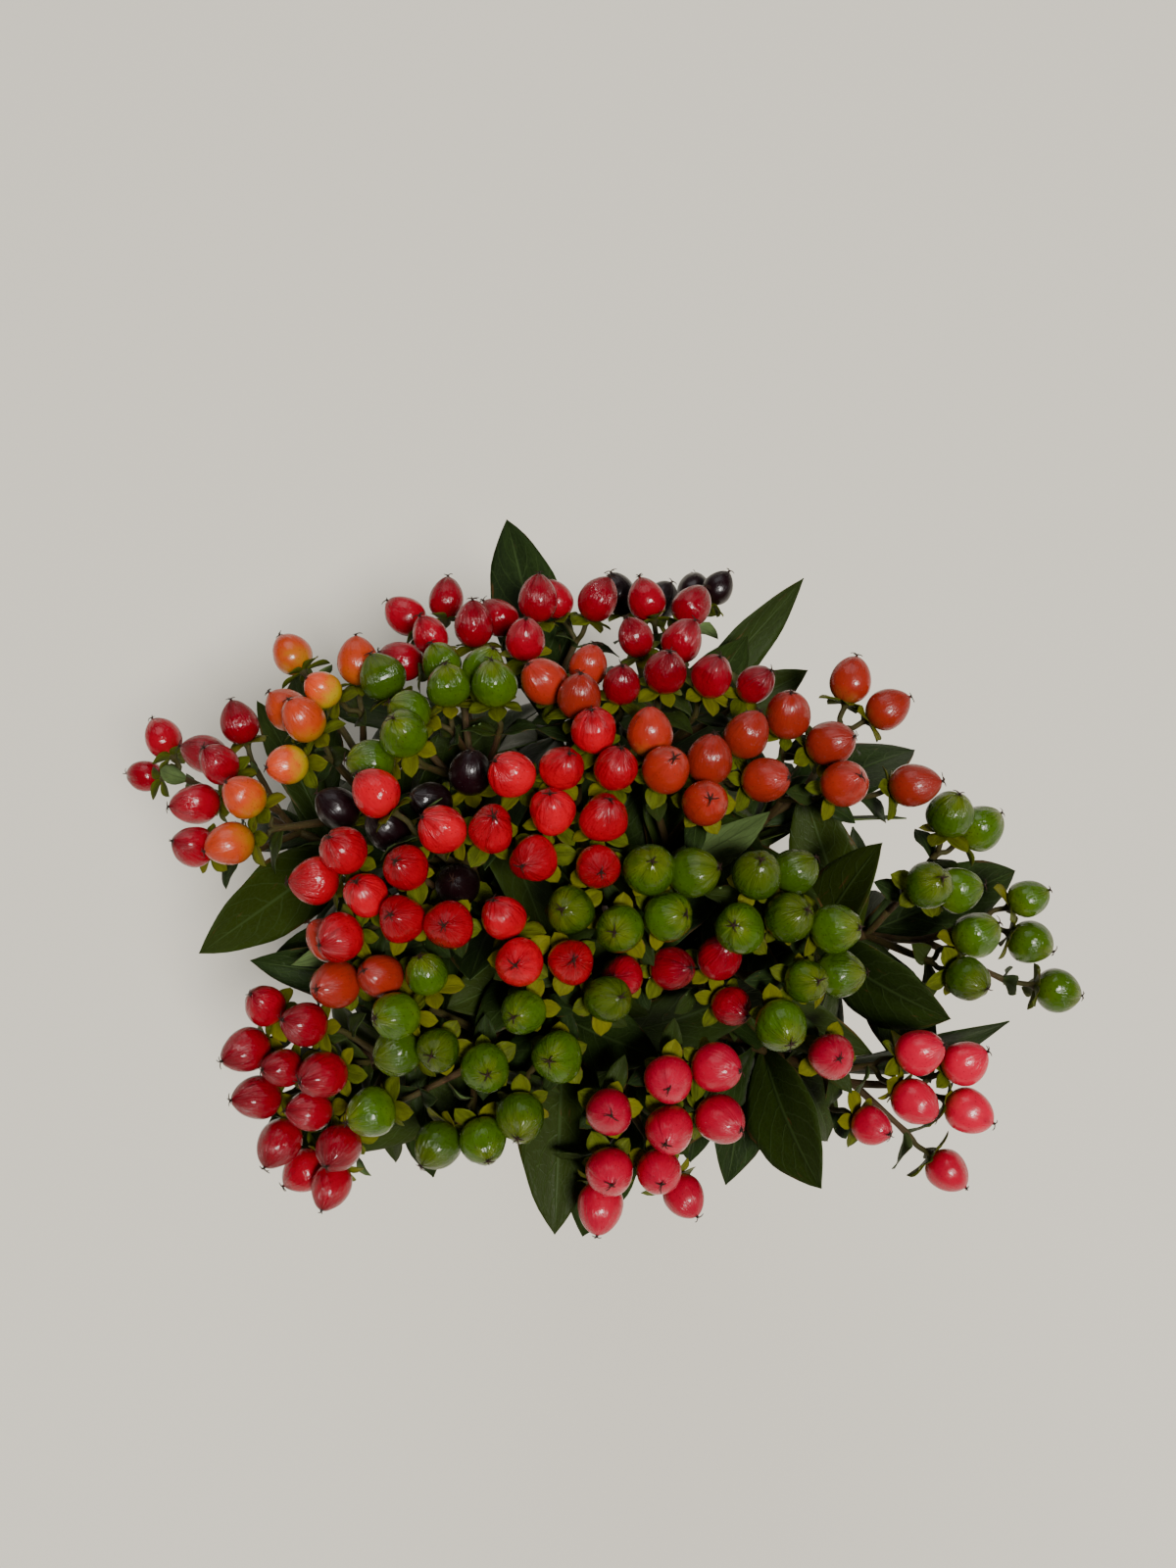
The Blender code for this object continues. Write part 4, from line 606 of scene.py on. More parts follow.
def settled(tree):
    """The skeleton once its neighbours have pushed each other clear, as they do when it is tied."""
    points = np.array(tree.points)
    wanted = points.copy()
    loose = 1.0 - np.array(tree.held)
    a, b = (np.array([limb[i] for limb in tree.limbs]) for i in (0, 1))
    start, end, radius = (np.array([limb[i] for limb in tree.limbs]) for i in (2, 3, 4))
    kind = np.array([limb[5] for limb in tree.limbs])
    stem = np.array([limb[6] for limb in tree.limbs])
    is_berry = kind == "berry"
    is_fruit = is_berry | (kind == "calyx")
    pull = np.full(len(points), LIMB_PULL)
    pull[b[is_berry]] = BERRY_PULL
    rod_a, rod_b = (np.array([rod[i] for rod in tree.rods]) for i in (0, 1))
    rod_length = np.array([rod[2] for rod in tree.rods])

    one, two = np.triu_indices(len(a), 1)
    shared = (a[one] == a[two]) | (a[one] == b[two]) | (b[one] == a[two]) | (b[one] == b[two])
    both = is_berry[one] & is_berry[two]
    keep = ~shared | both
    beside = shared & (b[one] != b[two]) & (a[one] == a[two])
    keep |= beside & (is_berry[one] ^ is_berry[two]) & ((kind[one] == "stalk") | (kind[two] == "stalk"))
    one, two = one[keep], two[keep]
    straight = [stem_["path"] for stem_ in tree.stems]
    inner = np.array([path[i] for path in straight for i in range(1, len(path) - 1)])
    before = np.array([path[i - 1] for path in straight for i in range(1, len(path) - 1)])
    after = np.array([path[i + 1] for path in straight for i in range(1, len(path) - 1)])
    bend = points[inner] - 0.5 * (points[before] + points[after])

    near_one, near_two = one, two
    for turn in range(SETTLING_ROUNDS):
        ends_a = points[a] + (points[b] - points[a]) * start[:, None]
        ends_b = points[a] + (points[b] - points[a]) * end[:, None]
        if turn % LOOK_AGAIN == 0:
            middles = 0.5 * (ends_a + ends_b)
            halves = 0.5 * np.linalg.norm(ends_a - ends_b, axis=1) + radius
            far = np.linalg.norm(middles[one] - middles[two], axis=1)
            close = far < halves[one] + halves[two] + LOOK_REACH
            near_one, near_two = one[close], two[close]
        s, t = nearest_shares(ends_a[near_one], ends_b[near_one], ends_a[near_two], ends_b[near_two])
        at_one = ends_a[near_one] + (ends_b - ends_a)[near_one] * s[:, None]
        at_two = ends_a[near_two] + (ends_b - ends_a)[near_two] * t[:, None]
        apart = at_one - at_two
        far = np.maximum(np.linalg.norm(apart, axis=1), 1e-9)
        gap = np.where(is_fruit[near_one] & is_fruit[near_two], 0.5, 1.0) * LIMB_GAP
        short = radius[near_one] + radius[near_two] + gap - far
        hit = short > 0.0
        way = apart[hit] / far[hit][:, None]
        moves = np.zeros_like(points)
        counts = np.full(len(points), 1e-9)
        for limbs, shares, sign in ((near_one[hit], s[hit], 1.0), (near_two[hit], t[hit], -1.0)):
            along = start[limbs] + (end[limbs] - start[limbs]) * shares
            low = np.clip(1.0 - along, 0.0, 1.0)
            high = np.clip(along, 0.0, 1.0)
            size = np.maximum(low**2 + high**2, 0.25)
            push = 0.5 * sign * short[hit][:, None] * way
            for ends, weights in ((a[limbs], low), (b[limbs], high)):
                np.add.at(moves, ends, push * (weights / size)[:, None])
                np.add.at(counts, ends, weights)
        points += moves / np.maximum(counts, 1.0)[:, None] * PUSH_SHARE * loose[:, None]
        for _ in range(ROD_ROUNDS):
            rod = points[rod_b] - points[rod_a]
            length = np.maximum(np.linalg.norm(rod, axis=1), 1e-9)
            change = (0.5 * (length - rod_length) / length)[:, None] * rod
            np.add.at(points, rod_a, change * loose[rod_a][:, None] * 0.5)
            np.add.at(points, rod_b, -change * loose[rod_b][:, None] * 0.5)
        smooth = 0.5 * (points[before] + points[after]) + bend
        points[inner] += STEM_STIFFNESS * (smooth - points[inner])
        fade = 1.0 if turn < EARLY_ROUNDS else LATE_PULL
        points += (pull * fade * loose)[:, None] * (wanted - points)
        points = np.round(points, 9)
    tree.points = points
    return tree


# Leaves: each is a midrib that starts at a node of its stem and bends, with a folded blade on it

def blade_half_width(t, half_width):
    """Half the width of a blade at a share of its length: an oval with a narrow base."""
    rise = np.sin(0.5 * np.pi * np.clip(t / LEAF_BROAD_FROM, 0.0, 1.0)) ** 0.9
    past = np.clip((t - LEAF_TAPER_FROM) / (1.0 - LEAF_TAPER_FROM), 0.0, 1.0)
    return half_width * (LEAF_BASE + (1.0 - LEAF_BASE) * rise) * (1.0 - past**LEAF_TAPER_POWER)


def blade_place(leaf, t, s):
    """The point of a leaf at share t of its length and s from one edge, -1, to the other, 1."""
    t, s = np.asarray(t, float), np.asarray(s, float)
    along, away = leaf["along"], leaf["away"]
    side = np.cross(along, away)
    pitch, bend = leaf["pitch"], leaf["bend"]
    angle = pitch + bend * t
    rise = (np.sin(angle) - math.sin(pitch)) / bend
    run = (math.cos(pitch) - np.cos(angle)) / bend
    rib = leaf["root"] + leaf["length"] * (rise[..., None] * along + run[..., None] * away)
    up = np.sin(angle)[..., None] * along - np.cos(angle)[..., None] * away
    width = blade_half_width(t, leaf["half_width"]) * s
    fold = LEAF_FOLD * (1.0 - 0.5 * t)
    lift = np.abs(width) * np.sin(fold)
    wave = LEAF_WAVE * np.abs(s) ** 2 * np.sin(6.3 * t + 1.3 * s + leaf["phase"]) * np.sin(np.pi * t)
    return rib + (width * np.cos(fold))[..., None] * side + (lift + wave)[..., None] * up


def blade_grid(leaf, rows, columns):
    """Points of a leaf in rows from base to tip, each from edge to edge."""
    t, s = np.meshgrid(np.linspace(0.0, 1.0, rows), np.linspace(-1.0, 1.0, columns), indexing="ij")
    return blade_place(leaf, t, s)


def aimed(leaf, target):
    """The leaf turned and sized so that its tip reaches a place."""
    chord = target - leaf["root"]
    reach = np.linalg.norm(chord)
    way = chord / reach
    lean = leaf["bend"] / 2.0
    flat = unit(leaf["face"] - (leaf["face"] @ way) * way)
    # The tip lies at pitch + bend / 2 from the stem's own direction.
    angle = leaf["pitch"] + lean
    away = math.sin(angle) * way - math.cos(angle) * flat
    length = reach * abs(lean) / math.sin(abs(lean))
    return dict(leaf, along=turned(way, flat, angle), away=away, length=length)


class Room:
    """What already fills the space, to tell whether one more leaf or sepal would touch it."""

    def __init__(self, tree):
        self.places, self.radii, self.stems = np.zeros((0, 3)), np.zeros(0), np.zeros(0, int)
        self.blades = []
        for a, b, start, end, radius, kind, stem in tree.limbs:
            limb = tree.points[b] - tree.points[a]
            self.fill(tree.points[a] + start * limb, tree.points[a] + end * limb, radius, stem)
        for stem, grown in enumerate(tree.stems):
            self.fill(on_spiral(grown["tie"], 0.0), tree.points[grown["path"][0]], STEM_FOOT_RADIUS, stem)

    def fill(self, start, end, radius, stem):
        """Takes up a limb, as places along it that lie close together."""
        count = 2 + int(np.linalg.norm(end - start) / PROBE_STEP)
        places = start + np.linspace(0.0, 1.0, count)[:, None] * (end - start)
        self.places = np.vstack([self.places, places])
        self.radii = np.append(self.radii, np.full(count, radius))
        self.stems = np.append(self.stems, np.full(count, stem))

    def clearance(self, places, stem, near):
        """The least distance from any of the places to what fills the space, but for what is close
        to the point near on their own stem."""
        filled, radii, stems = self.places, self.radii, self.stems
        close = np.linalg.norm(filled - places.mean(axis=0), axis=1) < radii + SEPAL_LOOK
        close &= (stems != stem) | (np.linalg.norm(filled - near, axis=1) > radii + OWN_STALK)
        if not close.any():
            return np.ones(len(places))
        far = np.linalg.norm(places[:, None] - filled[close], axis=2) - radii[close]
        return far.min(axis=1)

    def is_clear(self, blade, stem, root, thin):
        """Whether a blade keeps its gap to everything but its own stem at its root."""
        surface = surface_tree(blade)
        middle, reach = middle_and_reach(blade)
        filled, radii, stems = self.places, self.radii, self.stems
        gaps = radii + THIN_LEAF_GAP
        if not thin:
            gaps = np.where(stems == stem, 0.5, 1.0) * LEAF_GAP + 0.5 * LEAF_THICKNESS + radii
        close = np.linalg.norm(filled - middle, axis=1) < reach + gaps
        close &= (stems != stem) | (np.linalg.norm(filled - root, axis=1) > ROOT_FREE)
        for place, gap in zip(filled[close], gaps[close]):
            if surface.find_nearest(Vector(place), gap)[0] is not None:
                return False
        look = 0.0 if thin else LEAF_LOOK
        for other, other_middle, other_reach, places in self.blades:
            if np.linalg.norm(other_middle - middle) > reach + other_reach + look:
                continue
            if surface.overlap(other):
                return False
            for place in () if thin else places:
                if surface.find_nearest(Vector(place), LEAF_GAP + LEAF_THICKNESS)[0] is not None:
                    return False
        return True

    def take(self, blade):
        """Takes up a leaf."""
        self.blades.append((surface_tree(blade), *middle_and_reach(blade), blade.reshape(-1, 3)))


def middle_and_reach(blade):
    """A blade's middle, and how far its farthest point is from there."""
    places = blade.reshape(-1, 3)
    middle = places.mean(axis=0)
    return middle, np.linalg.norm(places - middle, axis=1).max()


def surface_tree(blade):
    """A search tree of a blade's surface."""
    rows, columns = blade.shape[:2]
    faces = []
    for row in range(rows - 1):
        for column in range(columns - 1):
            a = row * columns + column
            faces.append((a, a + 1, a + columns + 1, a + columns))
    return BVHTree.FromPolygons([Vector(place) for place in blade.reshape(-1, 3)], faces)


def stem_node(tree, grown, under):
    """The point of a stem at a distance under its fork, and the stem's direction there."""
    path = [tree.points[i] for i in grown["path"]][::-1]
    for upper, lower in zip(path, path[1:]):
        length = np.linalg.norm(upper - lower)
        if under <= length:
            return upper + (lower - upper) * under / length, unit(upper - lower)
        under -= length
    return path[-1], unit(path[-2] - path[-1])


def round_axis(place, axis, one, turn, radii):
    """Five places round an axis, one for each sepal."""
    angles = turn + np.arange(SEPALS) * math.tau / SEPALS
    ways = np.cos(angles)[:, None] * one + np.sin(angles)[:, None] * np.cross(axis, one)
    return place + ways * np.reshape(radii, (-1, 1))


def placed_calyxes(tree, room):
    """How the sepals under each berry are turned, and how far each can reach and touch nothing."""
    calyxes = {}
    for number, grown in enumerate(tree.stems):
        for fork, berries, _ in grown["forks"]:
            for berry in berries:
                axis = unit(tree.points[berry] - tree.points[fork])
                base = tree.points[berry] - axis * BERRY_HALF_LENGTH
                below = base - axis * SEPAL_DROOP
                belly = tree.points[berry] - axis * BELLY_DEPTH
                one = unit(np.cross(axis, ASKEW))
                best = None
                for turn in 0.37 * berry + np.arange(SEPAL_TURNS) * math.tau / SEPALS / SEPAL_TURNS:
                    reaches = np.full(SEPALS, SHORTEST_SEPAL)
                    for reach in np.arange(SHORTEST_SEPAL + SEPAL_STEP, 1.01, SEPAL_STEP):
                        tips = round_axis(below, axis, one, turn, SEPAL_REACH * reach)
                        flanks = round_axis(belly, axis, one, turn, BELLY_RADIUS)
                        fine = reaches > reach - 1.5 * SEPAL_STEP
                        fine &= room.clearance(tips, number, base) > SEPAL_GAP
                        fine &= room.clearance(0.6 * tips + 0.4 * flanks, number, base) > SEPAL_GAP
                        for aside in (-0.3, 0.3):
                            beside = round_axis(below, axis, one, turn + aside, 0.88 * SEPAL_REACH * reach)
                            fine &= room.clearance(beside, number, base) > SEPAL_GAP
                        reaches = np.where(fine, reach, reaches)
                    if best is None or reaches.sum() > best[0].sum():
                        best = (reaches, turn)
                reaches, turn = best
                calyxes[berry] = {"reaches": reaches, "turn": turn, "first": one}
                tips = round_axis(below, axis, one, turn, SEPAL_REACH * reaches)
                flanks = round_axis(belly, axis, one, turn, BELLY_RADIUS)
                for tip, next_tip, flank in zip(tips, np.roll(tips, 1, axis=0), flanks):
                    room.fill(base, tip, SEPAL_HALF_THICKNESS, number)
                    room.fill(tip, next_tip, SEPAL_HALF_THICKNESS, number)
                    room.fill(tip, flank, SEPAL_HALF_THICKNESS, number)
    return calyxes


def leaf_from(tree, grown, under, turn, length, half_width, pitch, bend, phase):
    """A leaf at a node of a stem, turned round it."""
    node, along = stem_node(tree, grown, under)
    level = unit(np.cross(along, (0.0, 0.0, 1.0)))
    back = np.cross(along, level)
    return {
        "root": node, "along": along, "away": turned(level, back, turn), "length": length,
        "half_width": half_width, "pitch": pitch, "bend": bend, "phase": phase}


def first_with_room(choices, number, room, thin):
    """A list of the first of these leaves for which there is room, which it then takes up."""
    for leaf in choices:
        blade = blade_grid(leaf, PROBE_ROWS, PROBE_COLUMNS)[1:]
        if blade[..., 2].min() < TIE_HEIGHT + LEAF_ABOVE_TIE:
            continue
        if room.is_clear(blade, number, leaf["root"], thin):
            room.take(blade)
            return [leaf]
    return []


def reaching_leaf(leaf, target, line, roll):
    """The leaf with its tip at a place, and its face turned between outward and the line of sight."""
    face = unit(0.4 * outward(target) - line)
    side = np.cross(unit(target - leaf["root"]), face)
    return aimed(dict(leaf, face=turned(face, side, roll)), target)


def seen_leaf_choices(tree, grown, across, down, depth, under, half_width, bend, turn):
    """Ways to grow a leaf whose tip shows at a place in the picture, the likeliest first."""
    line = sight_line(across, down)
    for deeper, lower, roll in itertools.product(*SEEN_TRIES):
        leaf = leaf_from(tree, grown, max(under + lower, 0.002), 0.0, 0.05, half_width, 0.5, bend, down)
        target = on_dome(across, down, depth + deeper)
        beside = target + ((leaf["root"] - target) @ line) * line
        spare = LONGEST_LEAF**2 - ((beside - leaf["root"]) ** 2).sum()
        past = unit(target - beside) * math.sqrt(max(spare, 0.0))
        if np.linalg.norm(target - leaf["root"]) > LONGEST_LEAF:
            target = beside + past
        yield reaching_leaf(leaf, target, line, turn + roll)


def grow_seen_leaves(tree, room, leaves, seen, thin):
    """Adds the leaves that the picture shows to those of their stems."""
    names = [grown["name"] for grown in tree.stems]
    for name, *shape in seen:
        number = names.index(name)
        choices = seen_leaf_choices(tree, tree.stems[number], *shape)
        leaves[number] += first_with_room(choices, number, room, thin)


def grow_pairs(tree, room, leaves, pairs, tries, thin):
    """Adds pairs of leaves to every stem, each turned, lifted or shortened until it has room."""
    for layer, (under, length, half_width, pitch, bend, every) in enumerate(pairs):
        for number, one_of_pair in itertools.product(range(0, len(tree.stems), every), range(2)):
            turn = PAIR_TURN * number + (layer + 0.5 * thin) * math.pi / 2.0 + one_of_pair * math.pi
            phase = WAVE_TURN * number + one_of_pair + thin * layer
            choices = (
                leaf_from(
                    tree, tree.stems[number], under, turn + swing, length * scale, half_width * scale,
                    pitch + lift, bend, phase)
                for scale, swing, lift in itertools.product(*tries))
            leaves[number] += first_with_room(choices, number, room, thin)


def placed_leaves(tree, room):
    """The leaves of every stem that the solids have."""
    leaves = [[] for _ in tree.stems]
    grow_seen_leaves(tree, room, leaves, SEEN_LEAVES, False)
    grow_pairs(tree, room, leaves, LEAF_PAIRS, LEAF_TRIES, False)
    return leaves


def stem_at(tree, grown, height):
    """Where a stem is at a height close to the tie."""
    start, above = (tree.points[point] for point in grown["path"][:2])
    if height <= TIE_HEIGHT:
        return on_spiral(grown["tie"], height)
    return start + (above - start) * (height - TIE_HEIGHT) / (above[2] - start[2])


def round_stems(tree, angle, height, proud):
    """The place beside the stems, taken together, on one side and at one height."""
    side = np.array((math.cos(angle), math.sin(angle), 0.0))
    outermost = max((stem_at(tree, grown, height) for grown in tree.stems), key=lambda place: place @ side)
    return outermost + side * (STEM_TIE_RADIUS + TWINE_GAP + proud)


@functools.lru_cache(maxsize=None)
def grown_bunch():
    """The skeleton, the room that is left, the calyxes and every stem's leaves, as in the solids."""
    tree = settled(grown_skeleton())
    room = Room(tree)
    calyxes = placed_calyxes(tree, room)
    leaves = placed_leaves(tree, room)
    return tree, room, calyxes, leaves


def chance(*words):
    """A random source of its own for each piece, the same in every run."""
    return np.random.default_rng([sum(ord(letter) * (i + 7) for i, letter in enumerate(str(word)))
                                  for word in words])


class Skin:
    """A mesh in the making: its places, its faces and the marks that its finish reads."""

    def __init__(self, *names):
        self.names = names
        self.places, self.marks, self.grains, self.faces = [], [], [], []
        self.count = 0

    def grid(self, places, grain, *marks, closed=False):
        """Adds rows of places as a sheet, or as a tube if each row closes on itself."""
        rows, columns = places.shape[:2]
        self.places.append(places.reshape(-1, 3))
        self.grains.append(np.broadcast_to(grain, places.shape).reshape(-1, 3))
        values = [np.broadcast_to(mark, (rows, columns)).reshape(-1) for mark in marks]
        self.marks.append(np.stack(values, axis=1))
        index = self.count + np.arange(rows * columns).reshape(rows, columns)
        if closed:
            index = np.hstack([index, index[:, :1]])
        corners = (index[:-1, :-1], index[:-1, 1:], index[1:, 1:], index[1:, :-1])
        self.faces.append(np.stack(corners, axis=-1).reshape(-1, 4))
        self.count += rows * columns

    def piece(self, name, finish, slot, node):
        """Makes the object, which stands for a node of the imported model."""
        mesh = bpy.data.meshes.new(name)
        places = np.concatenate(self.places) + np.array(TIE_PLACE)
        mesh.from_pydata(places.tolist(), [], np.concatenate(self.faces).tolist())
        marks = np.concatenate(self.marks)
        for column, mark in enumerate(self.names):
            layer = mesh.attributes.new(mark, "FLOAT", "POINT")
            layer.data.foreach_set("value", marks[:, column].astype(np.float32))
        layer = mesh.attributes.new("grain", "FLOAT_VECTOR", "POINT")
        layer.data.foreach_set("vector", np.concatenate(self.grains).astype(np.float32).ravel())
        form = bmesh.new()
        form.from_mesh(mesh)
        bmesh.ops.remove_doubles(form, verts=form.verts, dist=WELD)
        bmesh.ops.dissolve_degenerate(form, edges=form.edges, dist=WELD)
        form.to_mesh(mesh)
        form.free()
        mesh.shade_smooth()
        mesh.materials.append(finish)
        piece = bpy.data.objects.new(name, mesh)
        bpy.context.scene.collection.objects.link(piece)
        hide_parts(node)
        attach(piece, "root")


# Paths and tubes

def smooth_path(bends, steps=SMOOTH_STEPS):
    """A smooth path through all the bends."""
    bends = np.asarray(bends, float)
    ends = np.vstack([2.0 * bends[:1] - bends[1:2], bends, 2.0 * bends[-1:] - bends[-2:-1]])
    places = []
    for before, start, end, after in zip(ends, ends[1:], ends[2:], ends[3:]):
        for step in range(steps):
            t = step / steps
            places.append(0.5 * (
                2.0 * start + (end - before) * t
                + (2.0 * before - 5.0 * start + 4.0 * end - after) * t**2
                + (3.0 * start - before - 3.0 * end + after) * t**3))
    places.append(bends[-1])
    return np.array(places)


def along_path(places):
    """The length of a path up to each of its places."""
    return np.append(0.0, np.cumsum(np.linalg.norm(np.diff(places, axis=0), axis=1)))


def carried_frames(places):
    """Two directions square to a path at each place, which don't spin round it."""
    ways = unit(np.gradient(places, axis=0))
    first = unit(np.cross(ways[0], ASKEW))
    firsts = []
    for way in ways:
        first = unit(first - (first @ way) * way)
        firsts.append(first)
    firsts = np.array(firsts)
    return firsts, np.cross(ways, firsts)


def tube_rows(places, radii, sides):
    """Rings of places round a path, and the direction of each place as seen from the path."""
    firsts, seconds = carried_frames(places)
    angles = np.arange(sides) * math.tau / sides
    cos, sin = np.cos(angles)[None, :, None], np.sin(angles)[None, :, None]
    spokes = cos * firsts[:, None] + sin * seconds[:, None]
    radii = np.broadcast_to(np.asarray(radii, float).reshape(len(places), -1), (len(places), sides))
    return places[:, None] + spokes * radii[..., None], angles


def round_grain(angles, lengths, seed):
    """Where a place lies round a tube and along it, for streaks that run along it."""
    lengths = np.asarray(lengths, float).reshape(-1, 1)
    parts = np.broadcast_arrays(np.cos(angles), np.sin(angles), lengths)
    return np.stack(parts, axis=-1) + seed


def add_tube(skin, places, radii, sides, mark, seed, tip=False):
    """Adds a tube to a skin. A tip closes its end."""
    rows, angles = tube_rows(places, radii, sides)
    grain = round_grain(angles, along_path(places) * 1000.0, seed)
    mark = np.broadcast_to(mark, len(places))
    if tip:
        rows = np.concatenate([rows, np.broadcast_to(places[-1], (1, sides, 3))])
        grain = np.concatenate([grain, grain[-1:]])
        mark = np.append(mark, mark[-1])
    skin.grid(rows, grain, mark[:, None], closed=True)


# Wood: stems, branches, stalks and the dried styles on the berries

def grown_stem(skin, tree, grown, number, source):
    """A woody stem from its cut foot to its fork, with its nodes."""
    foot = on_spiral(grown["tie"], 0.0)
    waist = on_spiral(grown["tie"], 0.5 * TIE_HEIGHT)
    way = unit(waist - foot)
    places = smooth_path([foot, waist] + [tree.points[point] for point in grown["path"]], STEM_STEPS)
    lengths = along_path(places)
    shares = lengths / lengths[-1]
    radii = np.interp(shares, (0.0, 0.38, 1.0), (STEM_FOOT_RADIUS, STEM_TIE_RADIUS, STEM_TOP_RADIUS))
    nodes = np.arange(0.4, 9.0) * NODE_STEP + source.uniform(0.0, 0.4) * NODE_STEP
    near = np.exp(-((lengths[:, None] - nodes) / NODE_LENGTH) ** 2).sum(axis=1)
    rows, angles = tube_rows(places, radii * (1.0 + NODE_SWELLING * near), WOOD_SIDES)
    # The foot is cut level.
    for row in range(3):
        rows[row] -= way * (rows[row][:, 2:] - places[row][2]) / way[2]
    rows[0, :, 2] = 0.0
    grain = round_grain(angles, lengths * 1000.0, number * STEM_SEED)
    age = np.interp(shares, (0.0, 0.45, 1.0), (0.80, 0.62, FORK_AGE)) + 0.10 * near
    # Its face has a pale pith inside a rim of bark.
    face = [foot + (rows[0] - foot) * share for share in (0.0, 0.35, 0.8)]
    rows = np.concatenate([face, rows])
    grain = np.concatenate([grain[:1]] * len(face) + [grain])
    age = np.concatenate([[CUT_AGE, CUT_AGE, CUT_RIM_AGE], age])
    skin.grid(rows, grain, age[:, None], closed=True)


def grown_branches(skin, tree, grown, number, source):
    """The branches, each cluster's stalks, and the thick end of each stalk under its berry."""
    for fork, berries, route in grown["forks"]:
        for berry in berries:
            at_fork = tree.points[fork]
            axis = unit(tree.points[berry] - at_fork)
            base = tree.points[berry] - axis * BERRY_HALF_LENGTH
            bow = STALK_BOW * unit(np.cross(axis, source.normal(size=3)))
            start = [tree.points[point] for point in route] or [at_fork - axis * STALK_IN_BERRY]
            places = smooth_path([
                *start, at_fork, at_fork + 0.5 * (base - at_fork) + bow, base - axis * STALK_NECK,
                base + axis * STALK_IN_BERRY])
            lengths = along_path(places)
            left = lengths[-1] - lengths
            radii = np.full(len(places), STALK_RADIUS * THIN_STALK)
            radii = radii + THICKER * np.clip((left - 0.011) / 0.012, 0.0, 1.0)
            radii = radii + FLARE * np.clip((0.0026 - left) / 0.0020, 0.0, 1.0) ** 2
            from_fork = np.linalg.norm(places - at_fork, axis=1)
            radii = radii * (1.0 + KNEE_SWELLING * np.exp(-(from_fork / KNEE_LENGTH) ** 2))
            age = FORK_AGE - 0.22 * np.clip((0.012 - left) / 0.010, 0.0, 1.0) + source.uniform(-0.06, 0.10)
            add_tube(skin, places, radii, STALK_SIDES, age, number * STEM_SEED + berry, tip=True)


def dried_styles(skin, tip, axis, one, source, reach):
    """The dried styles that lie on a berry's tip as a small dark star."""
    count = int(source.integers(3, 6))
    other = np.cross(axis, one)
    start = source.uniform(0.0, math.tau)
    for style in range(count):
        angle = start + (style + source.uniform(-0.25, 0.25)) * math.tau / count
        out, aside = turned(one, other, angle), turned(one, other, angle + 1.6)
        length = reach * source.uniform(0.6, 1.25)
        curl = source.uniform(-0.5, 0.5)
        lift = source.uniform(0.1, 0.7)
        t = np.linspace(0.0, 1.0, STYLE_STEPS + 1)[:, None]
        rise = 0.0004 + length * (lift * t - 0.9 * lift * t * t)
        places = tip + axis * rise + out * length * (t - 0.12 * t * t) + aside * length * curl * t * t
        radii = STYLE_RADIUS * np.linspace(1.1, 0.55, len(places))
        add_tube(skin, places, radii, STYLE_SIDES, DRIED_AGE, style, tip=True)


# Berries

def berries_of(tree, calyxes, grown):
    """Each berry of a stem: its number, its middle, its axis and a direction square to the axis."""
    for fork, berries, _ in grown["forks"]:
        for berry in berries:
            axis = unit(tree.points[berry] - tree.points[fork])
            first = calyxes[berry]["first"]
            one = turned(first, np.cross(axis, first), calyxes[berry]["turn"])
            yield berry, tree.points[berry], axis, one


